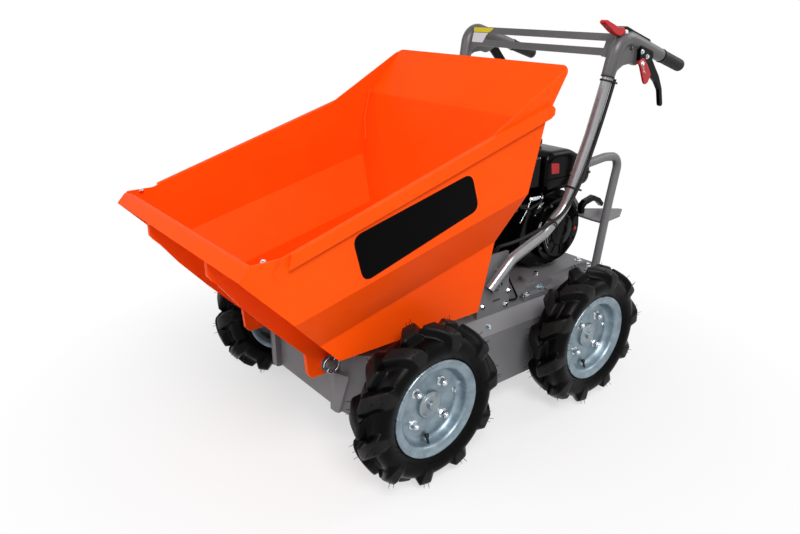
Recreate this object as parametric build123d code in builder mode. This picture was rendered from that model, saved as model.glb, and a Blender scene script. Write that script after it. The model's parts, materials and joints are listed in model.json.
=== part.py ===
"""Walk-behind site dumper: four driven wheels, front-tipping hopper, open engine, two handles.

X points forward, Y to the operator's left and Z up. The origin is on the ground under the
middle of the machine. Lengths are in millimetres and angles in degrees.
"""
import os
from math import atan2, cos, pi, radians, sin

from build123d import *

os.makedirs("parts", exist_ok=True)

# ---------------------------------------------------------------- driving dimensions
# Wheels
wheelbase = 589
front_axle_x = 286
rear_axle_x = front_axle_x - wheelbase
wheel_y = 336
tyre_radius = 200
tyre_width = 101
tread_depth = 22
shoulder_drop = 12
lugs_per_side = 10
lug_top_width = 22
lug_foot_width = 48
lug_angle = 40
wheel_flats = 36
rim_seat_radius = 102
rim_flange_radius = 121
rim_width = 78
rim_sheet = 4
disc_y = 2
disc_sheet = 5
hub_radius = 34
hub_cap_height = 8
hub_flange_half = 54
hub_flange = 12
shaft_end_gap = 1
axle_nut_radius = 15
axle_nut_height = 9
axle_z = tyre_radius

# Chassis
chassis_half_width = 252
chassis_front_x = 401
chassis_rear_x = -545
chassis_bottom_z = 88
chassis_side_top_z = 250
chassis_top_z = 285
chassis_top_half_width = 216
chin_height = 42
chin_length = 60
nose_half_width = 160
nose_length = 100
axle_housing_radius = 42
axle_flange_half = 54
axle_flange = 10
axle_shaft_radius = 15
axle_end_gap = 5
post_depth = 15
post_top_z = 238
post_inner_y = 131
post_fold_y = 150
post_outer_y = 189
ear_y = 124
ear_thickness = 12
ear_depth = 66
ear_wrap = 16

# Hopper
sheet = 4
hopper_half_width = 316
hopper_low_half_width = 250
panel_flange = 30
hopper_bottom_z = 330
hopper_front_x = 467
hopper_rear_x = 43
rear_wall_x = 14
rear_wall_z = 502
rear_edge_x = -74
rear_edge_z = 812
lip_x = 720
lip_z = 596
lip_fold = 25
kink_x = 102
kink_z = 790
wing_x = -146
wing_z = 929
wing_fold_x = -39
wing_fold_z = 813
wing_corner = 22
crease_angle = 13.9
low_crease = 493.5
high_crease = 615.4
rim_reach = 10
rim_drop = 30
rim_front_x = 617
rim_rear_x = -90
rim_rise = 0.308
wrap_bend = 10
chute_foot_x = 447
pivot_x = 441
pivot_z = 281
pivot_radius = 12
pivot_boss_radius = 19
pivot_boss = 8
pin_overhang = 16
rib_y = 152
rib_thickness = 12
rib_rear_x = 40
leg_depth = 31
hopper_gap = 15
rest_x = 110
rest_length = 60
rest_width = 30

# Handles and guards
handle_radius = 14.5
handle_y = 272
handle_top_x = -392
handle_top_z = 995
grip_reach = 301
grip_fall = 87
handle_end_x = handle_top_x - grip_reach
handle_end_z = handle_top_z - grip_fall
handle_bends = [70, 70, 80, 100]
shroud_bend = 45
socket_depth = 25
grip_radius = 17
grip_length = 105
grip_cap = 6
shroud_wall = 4
shroud_drop = 108
shroud_reach = 206
web_thickness = 10
lever_thickness = 9
catch_thickness = 5
drive_thickness = 14
console_set = 1
console_x = handle_top_x + console_set
console_z = handle_top_z
console_lean = 13
strip_height = 19
strip_pitch = 37
strip_thickness = 4
bracket_y = 212.5
bracket_thickness = 8
bracket_front_x = 10
bracket_rear_x = -113
bracket_shoulder_z = 392
bracket_top_z = 456
bracket_top_front_x = -30
bracket_top_rear_x = -95
hoop_radius = 12.5
hoop_y = 200
hoop_bends = [80, 120, 35, 80]
gate_z = 445
gate_thickness = 6
gate_strut_y = 58
strut_top_x = -510
strut_top_width = 20
strut_foot_x = -600
strut_foot_width = 30
gear_lever_y = 100
gear_lever_width = 15
cable_radius = 4.5
cable_bends = [100, 90, 80, 40, 30]

# Engine
deck_front_x = -180
deck_rear_x = -570
deck_half_width = 215
deck_thickness = 15
rail_x = -414
rail_y = 138
rail_length = 236
rail_width = 40
rail_height = 12
gearbox_x = -226
gearbox_length = 186
gearbox_half_width = 195
gearbox_height = 34
crank_x = -414
crank_z = 432
crankcase_left_y = 62
crankcase_right_y = -100
cylinder_lean = 15
cylinder_start = 60
fin_start = 104
core_width = 92
fin_count = 7
fin_pitch = 11
fin_thickness = 4
fin_width = 116
fin_height = 112
valve_cover_step = 12
valve_cover_depth = 26
valve_cover_chamfer = 8
fan_radius = 116
fan_depth = 42
snout_half_height = 60
recoil_radius = 98
recoil_step = 16
recoil_depth = 22
recoil_rise = 12
recoil_slots = 12
slot_circle = 58
slot_length = 34
slot_width = 7
slot_depth = 3
tank_front_x = -346
tank_rear_x = -562
tank_bottom_z = 548
tank_top_z = 668
tank_ridge_x = -455
tank_fall = 44
tank_half_width = 116
tank_edge = 12
seam_reach = 5
seam_thickness = 4
cap_x = -400
cap_radius = 34
cap_height = 14
neck_radius = 26
neck_height = 5
stay_half_width = 55
stay_depth = 39
stay_corner = 15
stay_front_x = -330
stay_rear_x = -500
stay_rear_cut = 12
cleaner_x = -275
cleaner_y = 58
cleaner_z = 572
cleaner_length = 104
cleaner_width = 96
cleaner_height = 92
cleaner_edge = 12
intake_drop = 50
muffler_y = -56
muffler_z = 566
muffler_length = 118
muffler_width = 100
muffler_height = 84
muffler_edge = 12
muffler_drop = 44
louvre_count = 5
louvre_pitch = 16

running_clearance = 0.05
bead_clearance = 1.5
free_clearance = 0.3


# ---------------------------------------------------------------- helpers
def save(piece, name):
    """Label a finished piece and write it as its own STEP file."""
    piece.part.label = name
    export_step(piece.part, "parts/" + name + ".step")


def lengthwise(y):
    """A plane standing lengthwise at y. Its local axes are X and Z, and it faces the right side."""
    return Plane.XZ.offset(-y)


def side_plate(points, y, thickness):
    """A flat plate standing lengthwise: its outline is in X and Z, centred on y."""
    with BuildPart() as plate:
        with BuildSketch(lengthwise(y)):
            with BuildLine():
                Polyline(*points, close=True)
            make_face()
        extrude(amount=thickness / 2, both=True)
    return plate.part


def tube(points, radii, radius, sides=0):
    """A bar along straight runs joined by arcs: round, or with a number of flat sides."""
    with BuildPart() as bar:
        with BuildLine():
            route = FilletPolyline(*points, radius=radii)
        with BuildSketch(Plane(origin=route @ 0, z_dir=route % 0)):
            if sides:
                RegularPolygon(radius, sides)
            else:
                Circle(radius)
        sweep()
    return bar.part


def save_pair(form, name):
    """Write a left piece and its mirror image on the right."""
    for hand in ("left", "right"):
        with BuildPart() as piece:
            if hand == "left":
                add(form)
            else:
                mirror(form, about=Plane.XZ)
        save(piece, name + "_" + hand)


# ---------------------------------------------------------------- wheels
groove_radius = tyre_radius - tread_depth
half_tyre = tyre_width / 2
flange_y = rim_width / 2 - rim_sheet
bead_y = flange_y - 11
sidewall_radius = (rim_flange_radius + groove_radius) / 2 - 4
lug_root_radius = groove_radius - 24


def ring_of_flats(section):
    """A closed section swept round the wheel's axle along a ring of flats. Columns: radius, distance out."""
    corners = [(groove_radius * cos(a), groove_radius * sin(a))
               for a in (2 * pi * (n + 0.5) / wheel_flats for n in range(wheel_flats))]
    with BuildPart() as body:
        with BuildLine(Plane.XZ):
            ring = Polyline(*corners, close=True)
        with BuildSketch(Plane.XY):
            with BuildLine():
                Polyline(*section, close=True)
            make_face()
        sweep(path=ring, transition=Transition.RIGHT)
    return body.part


def carcass_body():
    """The tyre without its lugs."""
    bead_radius = rim_seat_radius + bead_clearance
    outer_half = [
        (bead_radius, bead_y), (sidewall_radius, half_tyre - 1),
        (groove_radius - 5, half_tyre - shoulder_drop),
        (groove_radius, half_tyre - 24),
    ]
    return ring_of_flats(outer_half + [(radius, -y) for radius, y in reversed(outer_half)])


def lug_body(side):
    """One bar of the tread at the top of the wheel, from the middle out to the left (1) or right (-1)."""
    lean = radians(lug_angle)
    along = Plane(origin=(0, 0, 0), x_dir=(-side * cos(lean), -sin(lean), 0),
                  z_dir=(-sin(lean), side * cos(lean), 0))
    with BuildPart() as lug:
        with BuildSketch(along):
            with BuildLine():
                Polyline((-lug_foot_width / 2, lug_root_radius), (-lug_top_width / 2, tyre_radius),
                         (lug_top_width / 2, tyre_radius), (lug_foot_width / 2, lug_root_radius), close=True)
            make_face()
        extrude(amount=tyre_width, both=True)
        with BuildSketch(Plane.YZ):
            with BuildLine():
                Polyline((-side * 6, lug_root_radius), (-side * 6, tyre_radius),
                         (side * 26, tyre_radius - 3), (side * half_tyre, tyre_radius - shoulder_drop - 5),
                         (side * half_tyre, sidewall_radius + 6), (side * 26, lug_root_radius), close=True)
            make_face()
        extrude(amount=tyre_width, both=True, mode=Mode.INTERSECT)
    return lug.part


def tyre_body():
    pitch = 360 / lugs_per_side
    with BuildPart() as tyre:
        add(carcass_body())
        for side, start in ((1, 0), (-1, pitch / 2)):
            lug = lug_body(side)
            for n in range(lugs_per_side):
                add(lug.rotate(Axis.Y, start + n * pitch))
    return tyre.part


def rim_body():
    """A steel rim in one section: two flanges, the barrel and the flat disc."""
    half = rim_width / 2
    barrel = rim_seat_radius - rim_sheet
    bore = axle_shaft_radius + running_clearance
    front = disc_y + disc_sheet
    return ring_of_flats([
        (rim_flange_radius, half), (rim_flange_radius, flange_y), (rim_seat_radius, flange_y),
        (rim_seat_radius, -flange_y), (rim_flange_radius, -flange_y), (rim_flange_radius, -half),
        (barrel, -half), (barrel, disc_y), (bore, disc_y), (bore, front), (barrel, front), (barrel, half),
    ])


def hub_body():
    """Square flange behind the disc, cap and nut before it, and the shaft that runs in the housing."""
    front = disc_y + disc_sheet
    with BuildPart() as hub:
        with BuildSketch(lengthwise(disc_y)):
            Rectangle(2 * hub_flange_half, 2 * hub_flange_half)
        extrude(amount=hub_flange)
        with BuildSketch(lengthwise(front)):
            Circle(axle_shaft_radius)
        extrude(amount=wheel_y - chassis_half_width + front - shaft_end_gap)
        with BuildSketch(lengthwise(front)):
            RegularPolygon(hub_radius, 24)
        extrude(amount=-hub_cap_height)
        with BuildSketch(lengthwise(front + hub_cap_height)):
            RegularPolygon(axle_nut_radius, 6)
        extrude(amount=-axle_nut_height)
    return hub.part


tyre_form = tyre_body()
rim_form = rim_body()
hub_form = hub_body()
for end, axle_x in (("front", front_axle_x), ("rear", rear_axle_x)):
    place = Location((axle_x, wheel_y, axle_z))
    save_pair(tyre_form.moved(place), "tyre_" + end)
    save_pair(rim_form.moved(place), "rim_" + end)
    save_pair(hub_form.moved(place), "hub_" + end)

# ---------------------------------------------------------------- chassis
housing_end_y = wheel_y + disc_y - hub_flange - axle_end_gap

with BuildPart() as chassis:
    with BuildSketch(Plane.YZ.offset(chassis_rear_x)):
        with BuildLine():
            Polyline(
                (-chassis_half_width, chassis_bottom_z), (chassis_half_width, chassis_bottom_z),
                (chassis_half_width, chassis_side_top_z), (chassis_top_half_width, chassis_top_z),
                (-chassis_top_half_width, chassis_top_z), (-chassis_half_width, chassis_side_top_z),
                close=True,
            )
        make_face()
    extrude(amount=chassis_front_x - chassis_rear_x)
    with BuildSketch(Plane.XY):
        with BuildLine():
            Polyline(
                (chassis_rear_x, -chassis_half_width), (chassis_front_x - nose_length, -chassis_half_width),
                (chassis_front_x, -nose_half_width), (chassis_front_x, nose_half_width),
                (chassis_front_x - nose_length, chassis_half_width), (chassis_rear_x, chassis_half_width),
                close=True,
            )
        make_face()
    extrude(amount=chassis_top_z, mode=Mode.INTERSECT)
    with BuildSketch(Plane.XZ):
        with BuildLine():
            Polyline(
                (chassis_front_x, chassis_bottom_z), (chassis_front_x, chassis_bottom_z + chin_height),
                (chassis_front_x - chin_length, chassis_bottom_z), close=True,
            )
        make_face()
    extrude(amount=chassis_half_width, both=True, mode=Mode.SUBTRACT)
save(chassis, "chassis_box")

with BuildPart() as housings:
    for side in (1, -1):
        for axle_x in (front_axle_x, rear_axle_x):
            with BuildSketch(lengthwise(side * chassis_half_width)):
                with Locations((axle_x, axle_z)):
                    Rectangle(2 * axle_flange_half, 2 * axle_flange_half)
                    Circle(axle_shaft_radius + running_clearance, mode=Mode.SUBTRACT)
            extrude(amount=-side * axle_flange)
            with BuildSketch(lengthwise(side * (chassis_half_width + axle_flange))):
                with Locations((axle_x, axle_z)):
                    RegularPolygon(axle_housing_radius, 12)
                    Circle(axle_shaft_radius + running_clearance, mode=Mode.SUBTRACT)
            extrude(amount=-side * (housing_end_y - chassis_half_width - axle_flange))
save(housings, "axle_housings")

post_foot_z = chassis_bottom_z + chin_height
with BuildPart() as posts:
    with BuildSketch(Plane.YZ.offset(chassis_front_x)):
        with BuildLine():
            Polyline((post_inner_y, post_foot_z), (nose_half_width, post_foot_z), (post_outer_y, post_top_z),
                     (post_inner_y + 2, post_top_z), close=True)
        make_face()
    extrude(amount=post_depth)
    with BuildSketch(Plane.XY):
        with BuildLine():
            Polyline(
                (chassis_front_x, post_inner_y), (chassis_front_x + post_depth, post_inner_y),
                (chassis_front_x + post_depth, post_fold_y), (chassis_front_x, post_outer_y), close=True,
            )
        make_face()
    extrude(amount=post_top_z, mode=Mode.INTERSECT)
    mirror(about=Plane.XZ)
save(posts, "pivot_posts")

pin_half_length = rib_y + rib_thickness / 2 + pivot_boss + pin_overhang
with BuildPart() as pin:
    with BuildSketch(lengthwise(-pin_half_length)):
        with Locations((pivot_x, pivot_z)):
            Circle(pivot_radius)
    extrude(amount=-2 * pin_half_length)
    for side in (1, -1):
        with BuildSketch(lengthwise(side * ear_y)):
            with BuildLine():
                Polyline((chassis_front_x, pivot_z - ear_depth), (pivot_x + ear_wrap, pivot_z - 8),
                         (pivot_x + ear_wrap, pivot_z + 12), (pivot_x - 14, pivot_z + 18),
                         (chassis_front_x, chassis_top_z), close=True)
            make_face()
        extrude(amount=ear_thickness / 2, both=True)
save(pin, "pivot_bar")

# ---------------------------------------------------------------- hopper
floor_z = hopper_bottom_z + panel_flange
floor_middle_z = floor_z + sheet / 2
lip_top_x = lip_x - lip_fold
lip_top_z = lip_z + lip_fold + 2
# outline of a side panel, from the bottom at the rear round to the top of the rear edge. columns: x, z
panel_outline = [
    (hopper_rear_x, hopper_bottom_z),
    (hopper_front_x, hopper_bottom_z),
    (lip_x, lip_z),
    (lip_top_x, lip_top_z),
    (rim_front_x + 16, lip_top_z + 1),
    (kink_x, kink_z),
    (wing_x, wing_z),
    (rear_edge_x, rear_edge_z),
]
# middle of the folded sheet that makes the wing, rear wall, floor, chute and lip. columns: x, z
wrap_line = [
    (wing_x, wing_z),
    (wing_fold_x, wing_fold_z),
    (rear_wall_x, rear_wall_z),
    (hopper_rear_x + 5, floor_middle_z),
    (chute_foot_x, floor_middle_z),
    (lip_top_x, lip_top_z),
    (lip_x, lip_z),
]
crease_dir = (cos(radians(crease_angle)), 0, -sin(radians(crease_angle)))
section_plane = Plane(origin=(0, 0, 0), x_dir=(0, 1, 0), z_dir=crease_dir)
beyond = 1300


def hopper_section(inset):
    """Cross-section square to the side creases, pulled in by inset and open above and below."""
    high = hopper_half_width - inset
    low = hopper_low_half_width - inset
    with BuildSketch(section_plane) as section:
        with BuildLine():
            Polyline(
                (-high, beyond), (-high, high_crease), (-low, low_crease), (-low, 0),
                (low, 0), (low, low_crease), (high, high_crease), (high, beyond), close=True,
            )
        make_face()
    return section.sketch


with BuildPart() as panels:
    extrude(hopper_section(0), amount=beyond, dir=crease_dir, both=True)
    extrude(hopper_section(sheet), amount=beyond, dir=crease_dir, both=True, mode=Mode.SUBTRACT)
    with BuildSketch(Plane.XZ):
        with BuildLine():
            Polyline(*panel_outline, close=True)
        make_face()
    extrude(amount=hopper_half_width, both=True, mode=Mode.INTERSECT)

with BuildPart() as wrap:
    with BuildSketch(Plane.XZ):
        with BuildLine():
            FilletPolyline(*wrap_line, radius=wrap_bend)
        trace(line_width=sheet)
    extrude(amount=hopper_half_width, both=True)
    extrude(hopper_section(0), amount=beyond, dir=crease_dir, both=True, mode=Mode.INTERSECT)

rim_rear_z = kink_z + (kink_x - rim_rear_x) * rim_rise
rim_front_z = lip_top_z + 8
# folded rim outside a side panel. columns: x, z
rim_top = [(rim_front_x, rim_front_z), (kink_x, kink_z), (rim_rear_x + 10, rim_rear_z - 3)]
rim_end = [
    (rim_rear_x - 2, rim_rear_z - 12), (rim_rear_x - 2, rim_rear_z - 26),
    (rim_rear_x + 10, rim_rear_z - 34),
]
rim_bottom = [(kink_x, kink_z - rim_drop), (rim_front_x + 8, rim_front_z - rim_drop)]
wing_plane = Plane(
    origin=(wing_x, 0, wing_z), x_dir=(0, 1, 0), z_dir=(wing_z - wing_fold_z, 0, wing_fold_x - wing_x),
)
with BuildPart() as shell:
    add(panels.part)
    add(wrap.part)
    for side in (1, -1):
        with BuildSketch(lengthwise(side * (hopper_half_width + rim_reach - sheet))):
            with BuildLine():
                Polyline(*rim_top, *rim_end, *rim_bottom, close=True)
            make_face()
        extrude(amount=-side * sheet)
        with BuildSketch(lengthwise(side * hopper_half_width)):
            with BuildLine():
                Polyline(*rim_top, *[(x, z - sheet) for x, z in reversed(rim_top)], close=True)
            make_face()
        extrude(amount=-side * rim_reach)
        with BuildSketch(wing_plane):
            with Locations((side * (hopper_half_width - wing_corner / 2), -wing_corner / 2)):
                Rectangle(wing_corner + 2, wing_corner + 2)
            with Locations((side * (hopper_half_width - wing_corner), -wing_corner)):
                Circle(wing_corner, mode=Mode.SUBTRACT)
        extrude(amount=3 * wing_corner, both=True, mode=Mode.SUBTRACT)
save(shell, "hopper_shell")

chute_slope = (lip_top_z - floor_middle_z) / (lip_top_x - chute_foot_x)
chute_underside_drop = sheet / 2 / cos(atan2(chute_slope, 1))


def under_chute(x):
    """Height of the chute's underside at x."""
    return floor_middle_z + (x - chute_foot_x) * chute_slope - chute_underside_drop


rib_foot_z = chassis_top_z + hopper_gap
rib_tip_x = lip_x - 36
# from the tip under the lip down the front edge, round the leg and back along the floor. columns: x, z
rib_outline = [
    (rib_tip_x, under_chute(rib_tip_x)), (lip_x - 14, lip_z + 2), (lip_x - 11, lip_z - 4),
    (lip_x - 11, lip_z - 40), (lip_x - 19, lip_z - 51), (lip_x - 34, lip_z - 67), (647, 477), (582, 403),
    (496, 313), (pivot_x + 50, pivot_z - pivot_boss_radius), (pivot_x + 41, pivot_z - leg_depth),
    (pivot_x + 5, pivot_z - leg_depth), (pivot_x - 23, pivot_z - 9), (pivot_x - 23, rib_foot_z),
    (rib_rear_x + 20, rib_foot_z), (rib_rear_x, rib_foot_z + 30), (rib_rear_x, floor_z),
    (chute_foot_x + (floor_z - under_chute(chute_foot_x)) / chute_slope, floor_z),
]
for hand, side in (("left", 1), ("right", -1)):
    with BuildPart() as rib:
        with BuildSketch(lengthwise(side * rib_y)):
            with BuildLine():
                Polyline(*rib_outline, close=True)
            make_face()
        extrude(amount=rib_thickness / 2, both=True)
        with BuildSketch(lengthwise(side * rib_y)):
            with Locations((pivot_x, pivot_z)):
                Circle(pivot_boss_radius)
        extrude(amount=rib_thickness / 2 + pivot_boss, both=True)
        with BuildSketch(lengthwise(side * rib_y)):
            with Locations((pivot_x, pivot_z)):
                Circle(pivot_radius + running_clearance)
        extrude(amount=rib_y / 2, both=True, mode=Mode.SUBTRACT)
    save(rib, "hopper_rib_" + hand)

with BuildPart() as rests:
    with BuildSketch(Plane.XY.offset(chassis_top_z)):
        with Locations((rest_x, rib_y), (rest_x, -rib_y)):
            Rectangle(rest_length, rest_width)
    extrude(amount=hopper_gap - free_clearance)
save(rests, "hopper_rests")

# ---------------------------------------------------------------- handles
handle_top = Vector(handle_top_x, handle_y, handle_top_z)
handle_end = Vector(handle_end_x, handle_y, handle_end_z)


def from_top(points):
    """Points given from the corner of the handle, as x and z in the part's own frame."""
    return [(handle_top_x + x, handle_top_z + z) for x, z in points]


# left tube from its open lower end on the bracket to the corner of the handle. columns: x, y, z
handle_route = [
    (-14, 231, 370), (-88, 235, 440), (-200, 241, 488), (-273, 246, 551), (-334, 257, 742),
]
grip_dir = (handle_end - handle_top).normalized()
rise_dir = (Vector(*handle_route[-1]) - handle_top).normalized()
cover_radius = handle_radius + shroud_wall
# plate under the corner of the shroud that carries the lever. columns: x, z from the handle's corner
web_outline = [
    (16, -102), (0, -88), (-22, -78), (-55, -75), (-75, -83), (-108, -70), (-128, -37), (-30, -12),
    (6, -40),
]
with BuildPart() as shroud:
    with BuildLine():
        cover_line = FilletPolyline(
            handle_top + rise_dir * shroud_drop, handle_top, handle_top + grip_dir * shroud_reach,
            radius=shroud_bend,
        )
    with BuildSketch(Plane(origin=cover_line @ 0, z_dir=cover_line % 0)):
        RegularPolygon(cover_radius, 12)
    sweep()
    with BuildSketch(lengthwise(handle_y)):
        with BuildLine():
            Polyline(*from_top(web_outline), close=True)
        make_face()
    extrude(amount=web_thickness / 2, both=True)
    # sockets for the riser and for the bar behind
    for start, way in ((cover_line @ 0, cover_line % 0), (cover_line @ 1, cover_line % 1 * -1)):
        with BuildSketch(Plane(origin=start, z_dir=way)):
            Circle(handle_radius)
        extrude(amount=socket_depth, mode=Mode.SUBTRACT)
shroud_form = shroud.part
save_pair(shroud_form, "handle_shroud")

riser_end = handle_top + rise_dir * (shroud_drop - socket_depth)
riser_form = tube(handle_route + [riser_end], handle_bends, handle_radius)
bar_start = handle_top + grip_dir * (shroud_reach - socket_depth)
with BuildPart() as handle:
    add(riser_form)
    with BuildSketch(Plane(origin=bar_start, z_dir=grip_dir)):
        Circle(handle_radius)
    extrude(amount=(handle_end - bar_start).length)
handle_form = handle.part
save_pair(handle_form, "handle_tube")

with BuildPart() as grip:
    with BuildSketch(Plane(origin=handle_end - grip_dir * grip_length, z_dir=grip_dir)):
        Circle(grip_radius)
        Circle(handle_radius, mode=Mode.SUBTRACT)
    extrude(amount=grip_length)
    with BuildSketch(Plane(origin=handle_end, z_dir=grip_dir)):
        Circle(grip_radius)
    extrude(amount=grip_cap)
save_pair(grip.part, "handle_grip")

# plates between the shrouds, in the plane they lean in. columns: y, distance below the top
console_plane = Plane(
    origin=(console_x, 0, console_z), x_dir=(0, 1, 0),
    z_dir=(cos(radians(console_lean)), 0, sin(radians(console_lean))),
)
console_end = handle_y - cover_radius / 2
label_plate = [(-console_end, 0), (-163, 0), (-191, -23), (-201, -47), (-console_end, -80)]
end_plate = [(console_end, 0), (238, 0), (232, -58), (console_end, -62)]
with BuildPart() as console:
    for top in (0, -strip_pitch):
        with BuildSketch(console_plane):
            with Locations((0, top - strip_height / 2)):
                Rectangle(2 * console_end, strip_height)
        extrude(amount=strip_thickness / 2, both=True)
    for outline in (label_plate, end_plate):
        with BuildSketch(console_plane):
            with BuildLine():
                Polyline(*outline, close=True)
            make_face()
        extrude(amount=strip_thickness / 2, both=True)
    add(shroud_form, mode=Mode.SUBTRACT)
    add(mirror(shroud_form, about=Plane.XZ, mode=Mode.PRIVATE), mode=Mode.SUBTRACT)
save(console, "crossbar_strips")

lever_y = handle_y + web_thickness / 2 + lever_thickness / 2
# clutch lever with its perch, red catch on its outer face, and the red-tipped lever on top.
# columns: x, z from the handle's corner
clutch_outline = [
    (-75, -37), (-118, -43), (-153, -80), (-183, -110), (-206, -143), (-222, -189), (-208, -192),
    (-193, -150), (-170, -125), (-138, -104), (-106, -73), (-75, -61),
]
catch_outline = [
    (-65, -69), (-78, -80), (-104, -125), (-117, -129), (-134, -104), (-114, -80), (-90, -59),
]
drive_outline = [
    (79, 34), (83, 27), (40, 4), (-3, -10), (-125, -37), (-129, -16), (-48, 8), (-15, 18), (24, 17),
]
clutch = side_plate(from_top(clutch_outline), lever_y, lever_thickness)
with BuildPart() as clutch_lever:
    add(clutch)
    add(shroud_form, mode=Mode.SUBTRACT)
save_pair(clutch_lever.part, "clutch_lever")

with BuildPart() as catch:
    catch_y = lever_y + (lever_thickness + catch_thickness) / 2
    add(side_plate(from_top(catch_outline), catch_y, catch_thickness))
    add(shroud_form, mode=Mode.SUBTRACT)
save(catch, "red_catch")

with BuildPart() as drive:
    add(side_plate(from_top(drive_outline), handle_y, drive_thickness))
    add(shroud_form, mode=Mode.SUBTRACT)
save(drive, "drive_lever")

# plate that carries the foot of the handle. columns: x, z
bracket_outline = [
    (bracket_front_x, chassis_top_z), (bracket_front_x, bracket_shoulder_z),
    (bracket_top_front_x, bracket_top_z), (bracket_top_rear_x, bracket_top_z),
    (bracket_rear_x, chassis_top_z),
]
with BuildPart() as bracket:
    add(side_plate(bracket_outline, bracket_y, bracket_thickness))
    with BuildSketch(lengthwise(bracket_y)):
        with Locations((-62, 322), (-50, 352)):
            Rectangle(30, 8)
    extrude(amount=bracket_thickness, both=True, mode=Mode.SUBTRACT)
save_pair(bracket.part, "handle_bracket")

# ---------------------------------------------------------------- guards and gear lever
deck_top_z = chassis_top_z + deck_thickness
# columns: x, y, z
hoop_route = [
    (-305, 243, 636), (-380, 203, 643), (-499, hoop_y, 654), (-572, hoop_y, 648), (-548, hoop_y, 517),
    (-518, hoop_y, deck_top_z - 10),
]
with BuildPart() as hoop:
    add(tube(hoop_route, hoop_bends, hoop_radius, sides=12))
    add(handle_form, mode=Mode.SUBTRACT)
    split(bisect_by=Plane.XY.offset(deck_top_z), keep=Keep.TOP)
save_pair(hoop.part, "guard_hoop")

gate_top_z = gate_z + gate_thickness
strut_outline = [
    (strut_top_x + strut_top_width / 2, tank_bottom_z), (strut_top_x - strut_top_width / 2, tank_bottom_z),
    (strut_foot_x - strut_foot_width / 2, gate_z), (strut_foot_x + strut_foot_width / 2, gate_z),
]
# columns: x, y
gate_outline = [
    (-530, hoop_y), (-640, 186), (-705, 150), (-700, 138), (-620, 80), (-560, 50), (-540, 50), (-530, 160),
]
with BuildPart() as gate:
    with BuildSketch(Plane.XY.offset(gate_z)):
        with BuildLine():
            Polyline(*gate_outline, close=True)
        make_face()
    extrude(amount=gate_thickness)
    with BuildSketch(lengthwise(gate_strut_y)):
        with BuildLine():
            Polyline(*strut_outline, close=True)
        make_face()
    extrude(amount=gate_thickness / 2, both=True)
    add(hoop.part, mode=Mode.SUBTRACT)
save(gate, "gate_plate")

# gear lever, a bar that rises from the gate and arches back. columns: x, z
gear_outline = [
    (-548, gate_top_z), (-546, 480), (-562, 492), (-606, 502), (-640, 488), (-662, 468),
    (-656, 458), (-634, 474), (-606, 485), (-572, 478), (-562, 470), (-564, gate_top_z),
]
with BuildPart() as gear:
    add(side_plate(gear_outline, gear_lever_y, gear_lever_width))
save(gear, "gear_lever")

# control cable, tied along the left handle tube and led down to the chassis. columns: x, y, z
cable_route = [
    (-379, 281, 885), (-347, 273, 739), (-270, 268, 553), (-188, 249, 510), (-100, 228, 480),
    (-48, 190, 464), (-56, 190, chassis_top_z),
]
with BuildPart() as cable:
    add(tube(cable_route, cable_bends, cable_radius, sides=8))
    split(bisect_by=Plane.XY.offset(chassis_top_z), keep=Keep.TOP)
save(cable, "control_cable")
print("control_cable: bend radii", cable_bends, "cable radius", cable_radius)

# ---------------------------------------------------------------- engine
with BuildPart() as deck:
    with BuildSketch(Plane.XY.offset(chassis_top_z)):
        with Locations(((deck_front_x + deck_rear_x) / 2, 0)):
            Rectangle(deck_front_x - deck_rear_x, 2 * deck_half_width)
    extrude(amount=deck_thickness)
    with BuildSketch(Plane.XY.offset(deck_top_z)):
        with Locations((rail_x, rail_y), (rail_x, -rail_y)):
            Rectangle(rail_length, rail_width)
    extrude(amount=rail_height)
    with BuildSketch(Plane.XY.offset(chassis_top_z)):
        with Locations((gearbox_x, 0)):
            Rectangle(gearbox_length, 2 * gearbox_half_width)
    extrude(amount=gearbox_height)
    with BuildSketch(Plane.XY.offset(chassis_top_z + gearbox_height)):
        with Locations((gearbox_x - 20, gearbox_half_width - 30)):
            RegularPolygon(22, 12)
    extrude(amount=14)
save(deck, "engine_deck")

engine_foot_z = deck_top_z + rail_height
# crankcase seen from the side. columns: x, z
crankcase_outline = [
    (-506, engine_foot_z), (-322, engine_foot_z), (-322, engine_foot_z + 12), (-336, engine_foot_z + 20),
    (-330, 400), (-318, 470), (-345, 509), (-488, 509), (-502, 470), (-494, engine_foot_z + 20),
    (-506, engine_foot_z + 12),
]
with BuildPart() as block:
    with BuildSketch(lengthwise(crankcase_left_y)):
        with BuildLine():
            Polyline(*crankcase_outline, close=True)
        make_face()
    extrude(amount=crankcase_left_y - crankcase_right_y)
    with BuildSketch(lengthwise(crankcase_right_y)):
        with Locations((crank_x, crank_z)):
            RegularPolygon(52, 12)
    extrude(amount=30)
save(block, "engine_block")

# cylinder, fins and valve cover along the axis that leans up from level
cylinder_dir = Vector(cos(radians(cylinder_lean)), 0, sin(radians(cylinder_lean)))


def along_cylinder(distance):
    """A plane square to the cylinder at a distance from the crankshaft, with its X axis along Y."""
    crank = Vector(crank_x, 0, crank_z)
    return Plane(origin=crank + cylinder_dir * distance, x_dir=(0, 1, 0), z_dir=cylinder_dir)


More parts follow.
